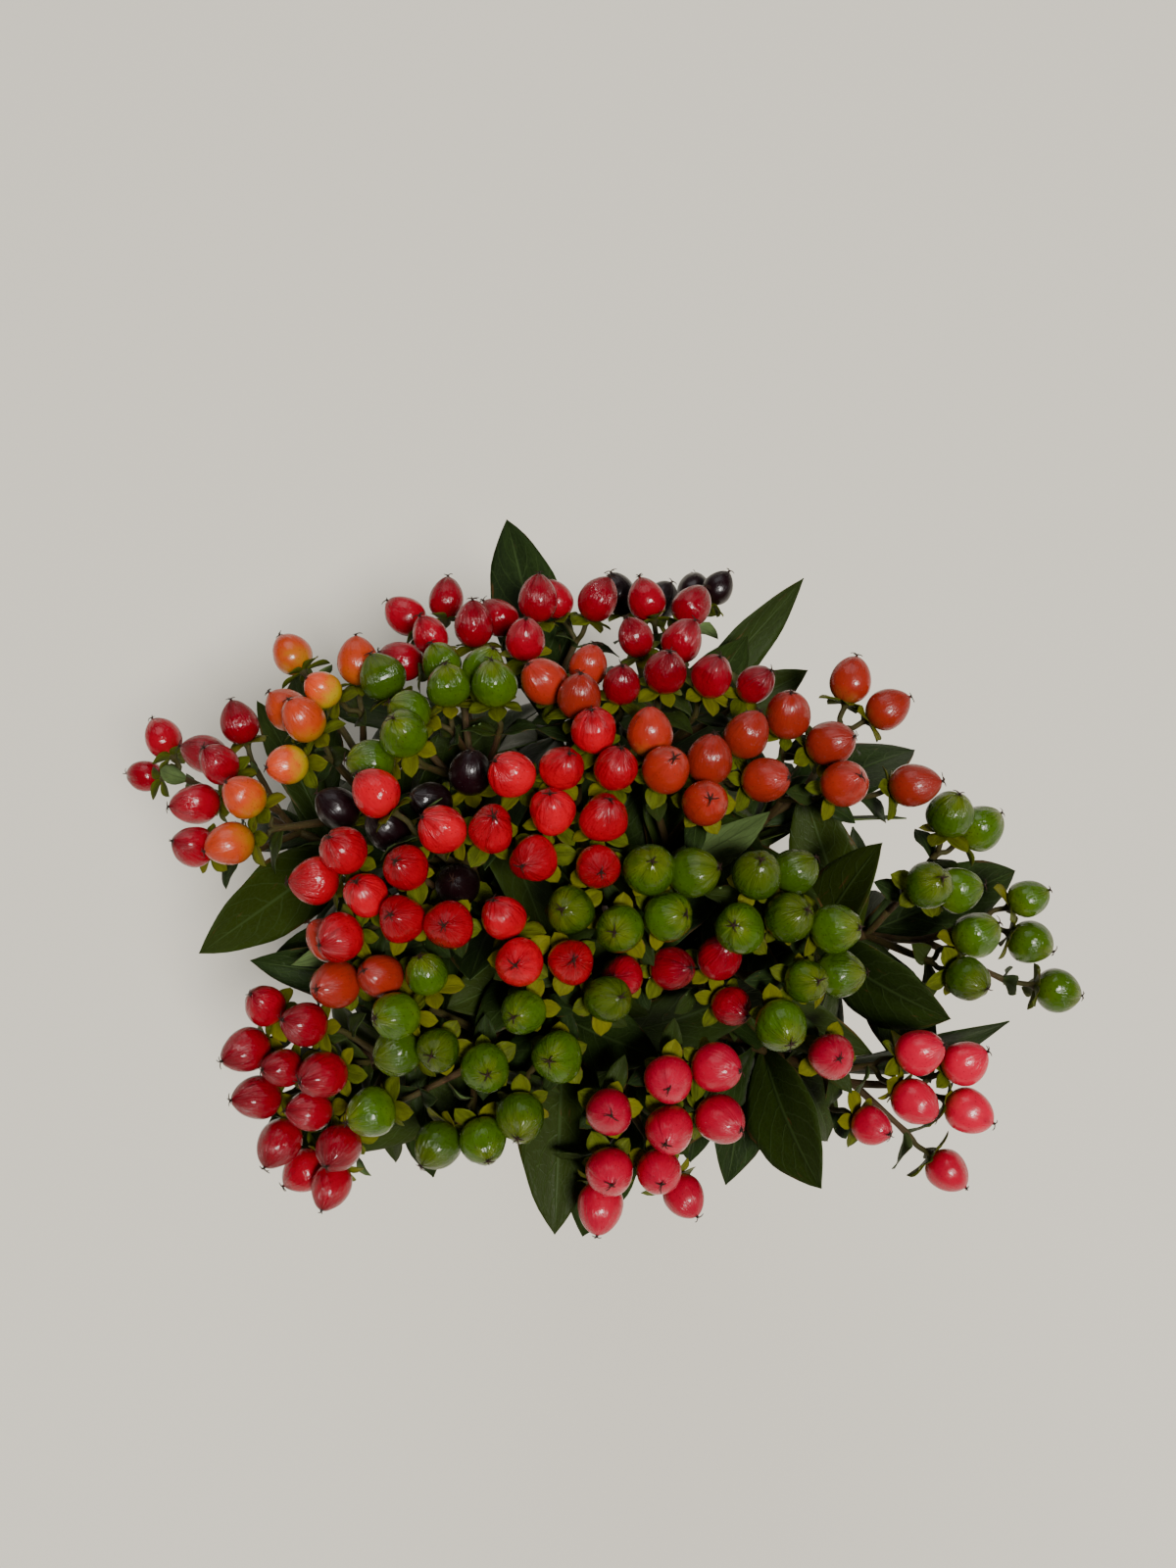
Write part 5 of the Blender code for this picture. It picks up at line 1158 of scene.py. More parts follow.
def ripe_berry(skin, middle, axis, one, variety, source):
    """A berry: an egg with lobes, seams, dents and wrinkles, and a small beak. Gives its tip."""
    girth, length, sharpness, lobes, wrinkled = BERRY_FORMS[variety]
    size = source.choice(BERRY_SIZES[0], p=BERRY_SIZES[1])
    girth *= BERRY_RADIUS * size * source.uniform(0.97, 1.02)
    half = BERRY_HALF_LENGTH * length * size * source.uniform(0.96, 1.03)
    middle = middle - axis * (BERRY_HALF_LENGTH - half)
    sharpness *= source.uniform(0.92, 1.08)
    other = np.cross(axis, one)
    swing = np.linspace(0.03, math.pi - 0.03, BERRY_ROWS)
    # How far up the berry each row is, and how wide the berry is there
    u = (0.5 - 0.5 * np.cos(swing))[:, None]
    angles = (np.arange(BERRY_COLUMNS) * math.tau / BERRY_COLUMNS)[None]
    above = u > WIDEST_SHARE
    share = np.where(above, (u - WIDEST_SHARE) / (1.0 - WIDEST_SHARE), (WIDEST_SHARE - u) / WIDEST_SHARE)
    profile = (1.0 - share**2) ** np.where(above, sharpness, FOOT_FULLNESS)
    turn = source.uniform(0.0, math.tau)
    lobes *= source.uniform(0.2, 1.6)
    lobed = lobes * np.cos(3.0 * (angles - turn)) * np.clip(u * 2.2, 0.0, 1.0)
    lobed = lobed + 0.4 * lobes * np.cos(2.0 * angles + turn)
    # Three seams run to the tip, between the lobes.
    apart = (angles - turn + math.pi / 3.0) % (math.tau / 3.0) - math.pi / 3.0
    seam = np.exp(-(apart * np.maximum(profile, 0.1) / 0.10) ** 2)
    seam = np.roll(seam, BERRY_COLUMNS // 6, axis=1) * np.clip((u - 0.35) / 0.3, 0.0, 1.0)
    creases = np.zeros((BERRY_ROWS, BERRY_COLUMNS))
    for count, strength in CREASES:
        phase = source.uniform(0.0, math.tau) + source.uniform(-0.9, 0.9) * u
        creases = creases + strength * np.abs(np.cos(0.5 * count * angles + phase)) ** 5
    creases = creases * (np.exp(-((u - 0.90) / 0.17) ** 2) + 0.05) * wrinkled
    dents = np.zeros_like(creases)
    for _ in range(DENTS):
        round_it = np.cos(angles * source.integers(1, 3) + source.uniform(0.0, math.tau))
        up_it = np.sin(math.pi * (u * source.uniform(1.0, 2.4) + source.uniform(0.0, 1.0)))
        dents = dents + DENT_DEPTH * round_it * up_it
    width = girth * profile * (1.0 + lobed + dents * (0.5 + wrinkled) - SEAM_DEPTH * seam)
    width = np.maximum(width - CREASE_DEPTH * creases, TIP_RADIUS)
    lean = source.uniform(-0.0004, 0.0004, 2) * u**2
    across = np.cos(angles) * width + lean[:, :1]
    aside = np.sin(angles) * width + lean[:, 1:]
    rise = (-half + 2.0 * half * u)[..., None]
    places = middle + axis * rise + across[..., None] * one + aside[..., None] * other
    tip = middle + axis * half + lean[-1, 0] * one + lean[-1, 1] * other
    ways = np.cos(angles)[..., None] * one + np.sin(angles)[..., None] * other
    beak = [tip + axis * up + ways * out for up, out in BEAK]
    foot = np.broadcast_to(middle - axis * half, (1, BERRY_COLUMNS, 3))
    places = np.concatenate([foot, places, *beak])
    u = np.concatenate([[0.0], u[:, 0], BEAK_RISES])[:, None]
    bare = np.zeros((len(BEAK), BERRY_COLUMNS))
    # The seams and creases go to the finish, which darkens the skin along them as painted shade.
    crease_shade = seam + creases
    crease_shade = np.clip(np.concatenate([crease_shade[:1], crease_shade, bare]), 0.0, 1.5)
    grain = round_grain(angles, u * 2.4, source.uniform(0.0, 40.0, 3))
    skin.grid(places, grain, u, crease_shade, source.uniform(0.0, 1.0), closed=True)
    return tip


# Sepals

def spread_sepal(skin, base, axis, way, reach, size, source):
    """A sepal: an oval, cupped blade that spreads from under the berry and bends back."""
    side = np.cross(axis, way)
    length = size * (SEPAL_LENGTHS[0] + SEPAL_LENGTHS[1] * reach)
    half_width = SEPAL_WIDTH * length * source.uniform(0.85, 1.08)
    t, s = blade_shares(0.0, SEPAL_ROWS, SEPAL_COLUMNS)
    start = math.radians(80.0)
    finish = math.radians(108.0 + 46.0 * (1.0 - reach) + source.uniform(-10.0, 16.0))
    angle = start + (finish - start) * t
    run = np.append(0.0, np.cumsum(np.sin(angle[:-1, 0]))) * length / (SEPAL_ROWS - 1)
    rise = np.append(0.0, np.cumsum(np.cos(angle[:-1, 0]))) * length / (SEPAL_ROWS - 1)
    broad = 0.22 + 0.78 * np.sin(math.pi * np.clip(t / 0.9, 0.0, 1.0) / 2.0)
    outline = half_width * broad * (1.0 - np.clip((t - 0.35) / 0.65, 0.0, 1.0) ** 3.0)
    cup = 0.32 * (s**2) * outline * (1.0 - 0.3 * t)
    roll = source.uniform(-0.25, 0.25)
    level = np.cos(angle)[..., None] * way - np.sin(angle)[..., None] * axis
    middle = base + run[:, None, None] * way + rise[:, None, None] * axis
    ripple = 0.00012 * np.sin(7.0 * t + 2.0 * s + source.uniform(0.0, 6.0)) * np.abs(s)
    blade = middle + (outline * s)[..., None] * turned(side, axis, roll) - (cup + ripple)[..., None] * level
    add_blade(skin, blade, t, s, source.uniform(0.0, 1.0), SEPAL_SHEET)


def blade_shares(start, rows, columns):
    """Rows of shares of a blade's length, and columns of shares of its width, edge to edge."""
    return np.linspace(start, 1.0, rows)[:, None], np.linspace(-1.0, 1.0, columns)[None]


def blade_face(blade):
    """The direction in which a blade's upper side looks, at each of its points."""
    face = unit(np.cross(np.gradient(blade, axis=0), np.gradient(blade, axis=1)))
    face[-1] = face[-2]
    return face


def add_blade(skin, blade, t, s, seed, half_thickness, turned_over=False):
    """Adds a leaf-like sheet with an upper side, an under side and a thin edge."""
    thin = half_thickness * (1.0 - 0.6 * np.abs(s) ** 6)[..., None] * np.ones_like(t)[..., None]
    sheet = blade_face(blade) * thin
    # One row runs from edge to edge along the under side and back over the upper side.
    rows = np.concatenate([blade - sheet, (blade + sheet)[:, ::-1]], axis=1)
    across = np.concatenate([s, s[:, ::-1]], axis=1)
    grain = np.stack(np.broadcast_arrays(t, across, seed * 10.0), axis=-1)
    is_under = np.repeat((0.0, 1.0) if turned_over else (1.0, 0.0), s.shape[1])[None]
    skin.grid(rows, grain, is_under, seed, closed=True)


# Leaves

def full_leaf(skin, leaf, source, half_thickness, rows=BLADE_ROWS, columns=BLADE_COLUMNS):
    """A leaf with a sunk midrib, raised panels between its veins and an uneven edge."""
    t, s = blade_shares(BLADE_START, rows, columns)
    uneven = 1.0 + 0.025 * np.sin(23.0 * t + leaf["phase"]) * np.sign(s) * np.abs(s)
    blade = blade_place(leaf, t + 0.0 * s, s * uneven)
    share = leaf["half_width"] / BROAD_LEAF
    veins = (t - 0.26 * np.abs(s) ** 1.3) * VEIN_PAIRS + 0.5 * (s > 0.0) + leaf["phase"]
    quilt = QUILT_HEIGHT * share * np.sin(math.tau * veins) * np.abs(s) * (1.0 - np.abs(s)) * 3.0
    rib = -RIB_DEPTH * share * np.exp(-(s / 0.10) ** 2) * (1.0 - t)
    curl = CURL_HEIGHT * share * np.sin(math.tau * (0.9 * t + leaf["phase"])) * s * np.abs(s)
    blade = blade + (quilt + rib + curl * np.sin(math.pi * t))[..., None] * blade_face(blade)
    add_blade(skin, blade, t, s, source.uniform(0.0, 1.0), half_thickness, leaf["phase"] in TURNED_OVER)


def shown_at(place):
    """Where a place shows in the picture."""
    reach = place - VIEW_POINT
    across, up, away = reach @ VIEW_RIGHT, reach @ VIEW_UP, reach @ VIEW_FORWARD
    return np.array(PICTURE_MIDDLE) + PICTURE_FOCUS * np.array((across, -up)) / away


def level_choices(tree, grown, across, down):
    """Ways to grow a leaf that lies level under the berries, its tip at a place in the picture."""
    for depth, under, roll in itertools.product(*LEVEL_TRIES):
        target = on_dome(across, down, depth)
        leaf = leaf_from(tree, grown, under, 0.0, 0.05, LEVEL_HALF_WIDTH, 0.5, 0.45, down)
        if np.linalg.norm(target - leaf["root"]) <= LONGEST_LEAF:
            yield reaching_leaf(leaf, target, sight_line(across, down), roll)


def thin_leaves(tree, room):
    """The leaves that are too close to their neighbours for solids: some that the picture shows, and
    those that fill the dark inside of the bunch."""
    leaves = [[] for _ in tree.stems]
    grow_seen_leaves(tree, room, leaves, SEEN_THIN_LEAVES, True)
    berries = np.array([
        shown_at(tree.points[berry]) for grown in tree.stems for _, cluster, _ in grown["forks"]
        for berry in cluster])
    for number, step in itertools.product(range(len(tree.stems)), range(LEVEL_LEAVES)):
        grown = tree.stems[number]
        turn = PAIR_TURN * number + step * math.tau / LEVEL_LEAVES
        fork = shown_at(tree.points[grown["path"][-1]])
        across, down = fork + LEVEL_REACH * np.array((math.cos(turn), math.sin(turn)))
        if np.linalg.norm(berries - (across, down), axis=1).min() <= LEVEL_COVER:
            choices = level_choices(tree, grown, across, down)
            leaves[number] += first_with_room(choices, number, room, True)
    grow_pairs(tree, room, leaves, THIN_PAIRS, THIN_TRIES, True)
    return leaves


def fork_bracts(tree, grown, number, room):
    """The pair of small leaves under each fork."""
    bracts = []
    for index, (fork, berries, _) in enumerate(grown["forks"]):
        along = unit(tree.points[berries[0]] - tree.points[fork])
        level = unit(np.cross(along, ASKEW))
        back = np.cross(along, level)
        for one_of_pair in range(2):
            turns = [BRACT_TURN * index + number + one_of_pair * math.pi + swing for swing in BRACT_SWINGS]
            choices = ({
                "root": tree.points[fork] - along * BRACT_SINK, "along": along,
                "away": turned(level, back, turn),
                "length": BRACT_LENGTH * (0.8 + 0.4 * math.sin(3.0 * turn) ** 2),
                "half_width": BRACT_HALF_WIDTH, "pitch": 0.9, "bend": 0.8, "phase": turn,
            } for turn in turns)
            bracts += first_with_room(choices, number, room, True)
    return bracts


# Twine

def twisted_twine(skin, places, radius, source, frayed=0.0):
    """Twine of three plies that go round each other along a path."""
    firsts, seconds = carried_frames(places)
    lengths = along_path(places)
    open_ends = 1.0 + frayed * np.clip((lengths - lengths[-1] + 0.004) / 0.004, 0.0, 1.0) ** 2
    for ply in range(PLIES):
        angle = (lengths / PLY_TWIST * math.tau + ply * math.tau / PLIES)[:, None]
        away = np.cos(angle) * firsts + np.sin(angle) * seconds
        strand = places + away * (0.50 * radius * open_ends)[:, None]
        radii = 0.53 * radius * (1.0 - 0.35 * (open_ends - 1.0) / max(frayed, 1.0))
        shade = source.uniform(0.0, 1.0)
        add_tube(skin, strand, radii, PLY_SIDES, shade, ply * 5.0 + source.uniform(0.0, 3.0), tip=True)


def loose_fibres(skin, places, radius, count, source):
    """Fine fibres that stand off the twine."""
    t = np.array((0.0, 0.5, 1.0))[:, None]
    for _ in range(count):
        place = places[source.integers(2, len(places) - 2)]
        way = unit(source.normal(size=3))
        bend = unit(source.normal(size=3))
        length = source.uniform(0.0012, 0.0036)
        fibre = place + way * (radius * 0.8) + way * length * t + bend * length * 0.5 * t * t
        add_tube(skin, fibre, FIBRE_RADII, 3, 0.9, 1.0)


def bound_twine(tree, radius, source):
    """The turns round the stems, the knot and its two frayed ends."""
    skin = Skin("shade")
    turns = []
    for share in np.arange(TWINE_TURNS * TURN_STEPS + 1) / (TWINE_TURNS * TURN_STEPS):
        height = TIE_HEIGHT + (share - 0.5) * TWINE_TURNS * TWINE_PITCH
        angle = KNOT_ANGLE + share * TWINE_TURNS * math.tau
        turns.append(round_stems(tree, angle, height, radius - 0.5 * TWINE_GAP))
    turns = np.array(turns)
    turns[1:-1] = 0.25 * turns[:-2] + 0.5 * turns[1:-1] + 0.25 * turns[2:]
    path = smooth_path(turns, 3)
    twisted_twine(skin, path, radius, source)
    knot = round_stems(tree, KNOT_ANGLE, TIE_HEIGHT, KNOT_RADIUS)
    out = np.array((math.cos(KNOT_ANGLE), math.sin(KNOT_ANGLE), 0.0))
    side = np.array((-out[1], out[0], 0.0))
    up = np.array((0.0, 0.0, 1.0))
    ends = []
    for way in (-1.0, 1.0):
        angle = KNOT_ANGLE + LOOSE_END_SPREAD * way
        leave = np.array((math.cos(angle), math.sin(angle), 0.0))
        # Each end comes from a turn, goes once through the knot and hangs down.
        loop = [knot + rise * way * up + off * out + aside * way * side for rise, off, aside in KNOT_LOOP]
        for share in (0.3, 0.6, 0.85, 1.0):
            fall = np.array((0.0, 0.0, -LOOSE_END_FALL * LOOSE_END * share**2))
            loop.append(knot + leave * LOOSE_END * (share - 0.2 * share**2) + fall)
        ends.append(smooth_path(loop, 8))
        twisted_twine(skin, ends[-1], radius, source, frayed=FRAYED)
    loose_fibres(skin, path, radius, FIBRES, source)
    for end in ends:
        loose_fibres(skin, end, radius, FIBRES // 5, source)
    return skin


# Finishes

class Finish:
    """A material in the making: its nodes are added one after another."""

    def __init__(self, name):
        self.made = bpy.data.materials.new(name)
        self.made.use_nodes = True
        self.tree = self.made.node_tree
        self.shader = self.tree.nodes["Principled BSDF"]

    def node(self, kind, settings, inputs, output=0):
        """Adds a node, fills its sockets and gives the one that it puts out."""
        made = self.tree.nodes.new("ShaderNode" + kind)
        for name, value in settings.items():
            setattr(made, name, value)
        for name, value in inputs.items():
            self.set(made, name, value)
        return made.outputs[output]

    def set(self, node, name, value):
        """Links a socket to another one, or gives it a number or a colour."""
        socket = node.inputs[name]
        if isinstance(value, bpy.types.NodeSocket):
            self.tree.links.new(value, socket)
        elif hasattr(value, "__len__") and len(value) == 3 and len(socket.default_value) == 4:
            socket.default_value = (*value, 1.0)
        else:
            socket.default_value = value

    def mark(self, name, vector=False):
        """What the mesh says of a place."""
        return self.node("Attribute", {"attribute_name": name}, {}, 1 if vector else 2)

    def sum(self, operation, a, b=0.0):
        return self.node("Math", {"operation": operation}, {0: a, 1: b})

    def off_half(self, value, share):
        """How far a value lies from a half, times a share."""
        return self.sum("MULTIPLY", self.sum("SUBTRACT", value, 0.5), share)

    def noise(self, vector, scale, detail=2.0, roughness=0.55):
        """Soft clouds at one scale, or stretched by a scale for each direction."""
        if isinstance(scale, tuple):
            vector = self.stretched(vector, scale)
            scale = 1.0
        sizes = {"Vector": vector, "Scale": scale, "Detail": detail, "Roughness": roughness}
        return self.node("TexNoise", {}, sizes)

    def stretched(self, vector, scale):
        """A vector with each of its parts scaled."""
        return self.node("VectorMath", {"operation": "MULTIPLY"}, {0: vector, 1: scale})

    def cells(self, vector, scale, feature="F1"):
        """How far a place is from the middle or the edge of one of many cells."""
        return self.node("TexVoronoi", {"feature": feature}, {"Vector": vector, "Scale": scale})

    def span(self, value, low, high, to_low=0.0, to_high=1.0):
        """A value that goes smoothly from one level to another between two bounds."""
        bounds = {"Value": value, "From Min": low, "From Max": high, "To Min": to_low, "To Max": to_high}
        return self.node("MapRange", {"interpolation_type": "SMOOTHSTEP"}, bounds)

    def mix(self, share, a, b):
        """Two colours mixed."""
        return self.node("Mix", {"data_type": "RGBA"}, {0: share, 6: a, 7: b}, 2)

    def bump(self, height, distance, strength=1.0, normal=None):
        """A fine relief, on top of another one if there is one."""
        sizes = {"Height": height, "Distance": distance, "Strength": strength}
        return self.node("Bump", {}, {**sizes, "Normal": normal} if normal else sizes)

    def surface(self, **inputs):
        """Sets the shader's own sockets and gives the material."""
        for name, value in inputs.items():
            self.set(self.shader, name.replace("_", " "), value)
        return self.made


def shaded(colour, share):
    """A colour made lighter or darker."""
    return tuple(min(1.0, part * share) for part in colour)


def berry_finish(variety, skin_colour, foot_colour, tip_colour, gloss):
    """Waxy skin: its foot and tip have their own colours, streaks run to its tip, specks lie on it, and shade
    is painted along its seams and creases.
    """
    own_from, own_to, specks, dimpled, creased, dull = BERRY_SKINS[variety]
    finish = Finish("berry_" + variety)
    grain = finish.mark("grain", True)
    rise, seam, shade = finish.mark("rise"), finish.mark("seam"), finish.mark("shade")
    clouds = finish.noise(grain, 1.3, 3.0)
    streaks = finish.noise(grain, (7.0, 7.0, 0.9), 4.0, 0.62)
    # The bounds between the colours wander up and down the berry.
    height = finish.sum("ADD", rise, finish.off_half(clouds, 0.55))
    height = finish.sum("ADD", height, finish.off_half(shade, 0.30))
    colour = finish.mix(finish.span(height, own_from, own_to), foot_colour, skin_colour)
    colour = finish.mix(finish.span(height, 0.66, 1.05, 0.0, 0.85), colour, tip_colour)
    lighter = finish.mix(0.5, skin_colour, shaded(foot_colour, 1.2))
    colour = finish.mix(finish.span(streaks, 0.52, 0.80, 0.0, 0.22), colour, lighter)
    # Darker in clouds and at random from berry to berry, and darker along the seams and creases as painted
    # shade.
    for value, low, high, most, darker in (
            (clouds, 0.45, 0.72, 0.40, 0.60), (shade, 0.1, 1.0, 0.70, 0.50), (seam, 0.3, 1.3, 0.25, 0.40)):
        colour = finish.mix(finish.span(value, low, high, 0.0, most), colour, shaded(skin_colour, darker))
    speck = finish.span(finish.cells(grain, SPECK_SCALE), 0.10, 0.20, specks, 0.0)
    colour = finish.mix(speck, colour, SPECK_COLOUR)
    beak = finish.span(rise, 0.985, 1.02)
    colour = finish.mix(beak, colour, BEAK_COLOUR)
    rough = finish.span(clouds, 0.3, 0.7, gloss + dull - 0.03, gloss + dull + 0.09)
    rough = finish.sum("ADD", rough, finish.sum("MULTIPLY", beak, 0.3))
    pores = finish.bump(finish.noise(grain, (26.0, 26.0, 20.0)), 0.00002, 0.5)
    dimples = finish.bump(finish.noise(grain, (2.6, 2.6, 2.2)), 0.0008, dimpled, pores)
    # The skin has shrunk into creases towards the tip.
    shrunk = finish.sum("MULTIPLY", streaks, finish.span(height, 0.35, 0.95, 0.12, 1.0))
    return finish.surface(
        Base_Color=colour, Roughness=rough, Normal=finish.bump(shrunk, 0.0009, creased, dimples),
        Specular_IOR_Level=0.36, Coat_Weight=0.22, Coat_Roughness=0.06, Coat_IOR=1.45, IOR=1.45)


def blade_finish(name, looks, spots, roughness):
    """Leaf or sepal: a midrib, curved side veins, a fine net between them, and a paler under side."""
    upper, under, vein = tuple(looks.upper), tuple(looks.under), tuple(looks.vein)
    finish = Finish(name)
    grain = finish.mark("grain", True)
    side, seed = finish.mark("side"), finish.mark("shade")
    along = finish.node("SeparateXYZ", {}, {0: grain})
    across = along.node.outputs[1]
    off = finish.sum("ABSOLUTE", across)
    # Side veins: each half has its own, they bend to the tip, and they wobble.
    bent = finish.sum("MULTIPLY", finish.sum("POWER", off, 1.35), 0.30)
    half = finish.sum("MULTIPLY", finish.sum("GREATER_THAN", across, 0.0), 0.5)
    count = finish.sum("ADD", finish.sum("MULTIPLY", finish.sum("SUBTRACT", along, bent), 7.5), half)
    count = finish.sum("ADD", count, finish.sum("MULTIPLY", finish.noise(grain, 3.0), 0.7))
    wave = finish.sum("ABSOLUTE", finish.sum("SUBTRACT", finish.sum("FRACT", count), 0.5))
    veins = finish.span(off, 0.015, 0.065, 1.0, 0.0)
    net = finish.cells(finish.stretched(grain, (26.0, 9.0, 1.0)), 1.0, "DISTANCE_TO_EDGE")
    for lines, wide, strength in ((wave, 0.075, 0.7), (net, 0.10, 0.28)):
        finer = finish.sum("MULTIPLY", finish.span(lines, 0.0, wide, 1.0, 0.0), strength)
        veins = finish.sum("MAXIMUM", veins, finer)
    clouds = finish.noise(grain, 2.2, 4.0, 0.6)
    yellower = tuple(part * share for part, share in zip(upper, (1.9, 1.35, 0.6)))
    face = finish.mix(finish.span(clouds, 0.3, 0.7), upper, shaded(upper, 0.45))
    face = finish.mix(finish.span(seed, 0.2, 1.0, 0.0, 0.6), face, yellower)
    face = finish.mix(finish.sum("MULTIPLY", veins, 0.55), face, vein)
    back = finish.mix(finish.span(clouds, 0.3, 0.7), under, shaded(under, 0.7))
    back = finish.mix(finish.sum("MULTIPLY", veins, 0.65), back, shaded(under, 0.42))
    rust = finish.sum("ADD", finish.noise(grain, 5.5, 3.0, 0.6), finish.span(off, 0.80, 1.0, 0.0, 0.13))
    colour = finish.mix(finish.span(rust, 0.66, 0.74, 0.0, spots), finish.mix(side, face, back), RUST_COLOUR)
    rough = finish.span(clouds, 0.2, 0.8, roughness - 0.08, roughness + 0.10)
    raised = finish.bump(veins, 0.00016, 0.8)
    leather = finish.bump(finish.noise(grain, (60.0, 26.0, 1.0), 3.0), 0.00008, 0.5, raised)
    return finish.surface(
        Base_Color=colour, Roughness=rough, Normal=leather, IOR=1.42, Specular_IOR_Level=0.12)


def bark_finish(bark, green, pith):
    """Wood: brown below, green or red above, dark where it has dried, pale where it is cut."""
    finish = Finish("bark")
    grain, age = finish.mark("grain", True), finish.mark("age")
    fibres = finish.noise(grain, (5.0, 5.0, 0.35), 4.0, 0.65)
    old = finish.sum("ADD", age, finish.off_half(finish.noise(grain, (1.0, 1.0, 0.10), 3.0), 0.5))
    lenticels = finish.noise(grain, (3.0, 3.0, 1.3), 1.0)
    colour = finish.mix(finish.span(old, 0.18, 0.55), green, bark)
    for value, low, high, most, other in (
            (fibres, 0.35, 0.72, 0.7, shaded(bark, 0.35)), (lenticels, 0.68, 0.74, 0.5, shaded(bark, 2.6)),
            (age, 1.1, 1.3, 1.0, pith), (age, 1.7, 1.9, 1.0, DRIED_COLOUR)):
        colour = finish.mix(finish.span(value, low, high, 0.0, most), colour, other)
    return finish.surface(
        Base_Color=colour, Roughness=finish.span(fibres, 0.3, 0.7, 0.48, 0.72),
        Normal=finish.bump(fibres, 0.00030, 0.8), Specular_IOR_Level=0.20)


def twine_finish(fibre):
    """Jute: dull fibres that run along each ply."""
    finish = Finish("twine")
    grain, shade = finish.mark("grain", True), finish.mark("shade")
    fibres = finish.noise(grain, (9.0, 9.0, 1.2), 4.0, 0.7)
    colour = finish.mix(finish.span(fibres, 0.3, 0.7), shaded(fibre, 0.55), shaded(fibre, 1.25))
    colour = finish.mix(finish.sum("MULTIPLY", shade, 0.3), colour, shaded(fibre, 0.6))
    return finish.surface(
        Base_Color=colour, Roughness=0.92, Normal=finish.bump(fibres, 0.00018, 0.9), Sheen_Weight=0.15)


def floor_finish(colour):
    """A pale, plain, matt floor."""
    finish = Finish("floor")
    faint = finish.noise(finish.node("TexCoord", {}, {}, 3), 0.7)
    pale = finish.mix(finish.span(faint, 0.3, 0.7), shaded(colour, 0.97), colour)
    return finish.surface(Base_Color=pale, Roughness=0.9)


# What a user may change

def colour_prop(name, about, value):
    """A colour, as a user may change it."""
    return FloatVectorProperty(
        name=name, description=about, default=value, size=3, min=0.0, max=1.0, subtype="COLOR")


def length_prop(name, about, value, most):
    """A length, as a user may change it."""
    return FloatProperty(
        name=name, description=about, default=value, min=0.0, max=most, precision=5, unit="LENGTH",
        subtype="DISTANCE")


class BerryLooks(bpy.types.PropertyGroup):
    """Colours of each variety, how rough their gloss is and how long their dried styles are."""

    __annotations__ = {
        variety + part: colour_prop(
            (variety + part).replace("_", " ").capitalize(), about.format(variety), colour)
        for variety, colours in BERRY_COLOURS.items()
        for (part, about), colour in zip(BERRY_PARTS.items(), colours)}
    gloss: FloatProperty(
        name="Gloss roughness", description="How rough the waxy skin is", default=0.17, min=0.0, max=1.0,
        subtype="FACTOR")
    styles: length_prop("Style length", "How long the dried styles on a berry's tip are", 0.0019, 0.005)


class LeafLooks(bpy.types.PropertyGroup):
    """Colours and thickness of the leaves."""

    upper: colour_prop("Upper side", "Upper side of a leaf", (0.015, 0.031, 0.005))
    under: colour_prop("Under side", "Under side of a leaf", (0.115, 0.175, 0.055))
    vein: colour_prop("Veins", "Veins on the upper side", (0.045, 0.075, 0.020))
    thickness: length_prop("Thickness", "Thickness of a leaf", 0.0004, 0.0008)


class SepalLooks(bpy.types.PropertyGroup):
    """Colours of the sepals under the berries."""

    upper: colour_prop("Upper side", "Upper side of a sepal", (0.105, 0.132, 0.006))
    under: colour_prop("Under side", "Under side of a sepal", (0.085, 0.105, 0.008))
    vein: colour_prop("Veins", "Veins of a sepal", (0.12, 0.145, 0.010))


class WoodLooks(bpy.types.PropertyGroup):
    """Colours of the stems, branches and stalks."""

    bark: colour_prop("Bark", "Old bark low on the stems", (0.090, 0.040, 0.019))
    green: colour_prop("Young wood", "Stalks close to the berries", (0.045, 0.045, 0.009))
    pith: colour_prop("Cut wood", "The cut face of a stem", (0.55, 0.45, 0.25))


class TwineLooks(bpy.types.PropertyGroup):
    """Colour and thickness of the twine."""

    fibre: colour_prop("Fibre", "Fibres of the twine", (0.42, 0.29, 0.15))
    radius: length_prop("Radius", "Half the thickness of the twine", TWINE_RADIUS, 0.002)


class StageLooks(bpy.types.PropertyGroup):
    """Colour of the floor and strength of the lamps."""

    floor: colour_prop("Floor", "The floor under the bunch", (0.86, 0.812, 0.695))
    floor_size: length_prop("Floor size", "Length of a side of the floor", 8.0, 20.0)
    lamp: FloatProperty(
        name="Main lamp", description="Power of the main lamp", default=320.0, min=0.0, max=2000.0,
        unit="POWER")
    back_lamp: FloatProperty(
        name="Back lamp", description="Power of the lamp behind the bunch", default=9.0, min=0.0, max=500.0,
        unit="POWER")
    room: FloatProperty(
        name="Room light", description="Strength of the light from all round", default=0.07, min=0.0,
        max=5.0)


# The operators

class HYPERICUM_OT_wood(bpy.types.Operator):
    """Grow every stem with its branches, its berry stalks and the dried styles."""

    bl_idname = "hypericum.wood"
    bl_label = "Grow wood"

    def execute(self, context):
        looks = context.scene.hypericum_wood
        tree = grown_bunch()[0]
        finish = bark_finish(looks.bark, looks.green, looks.pith)
        for number, grown in enumerate(tree.stems):
            source = chance("wood", grown["name"])
            skin = Skin("age")
            grown_stem(skin, tree, grown, number, source)
            grown_branches(skin, tree, grown, number, source)
            skin.piece(grown["name"] + "_wood", finish, "bark", grown["name"])
        return {"FINISHED"}


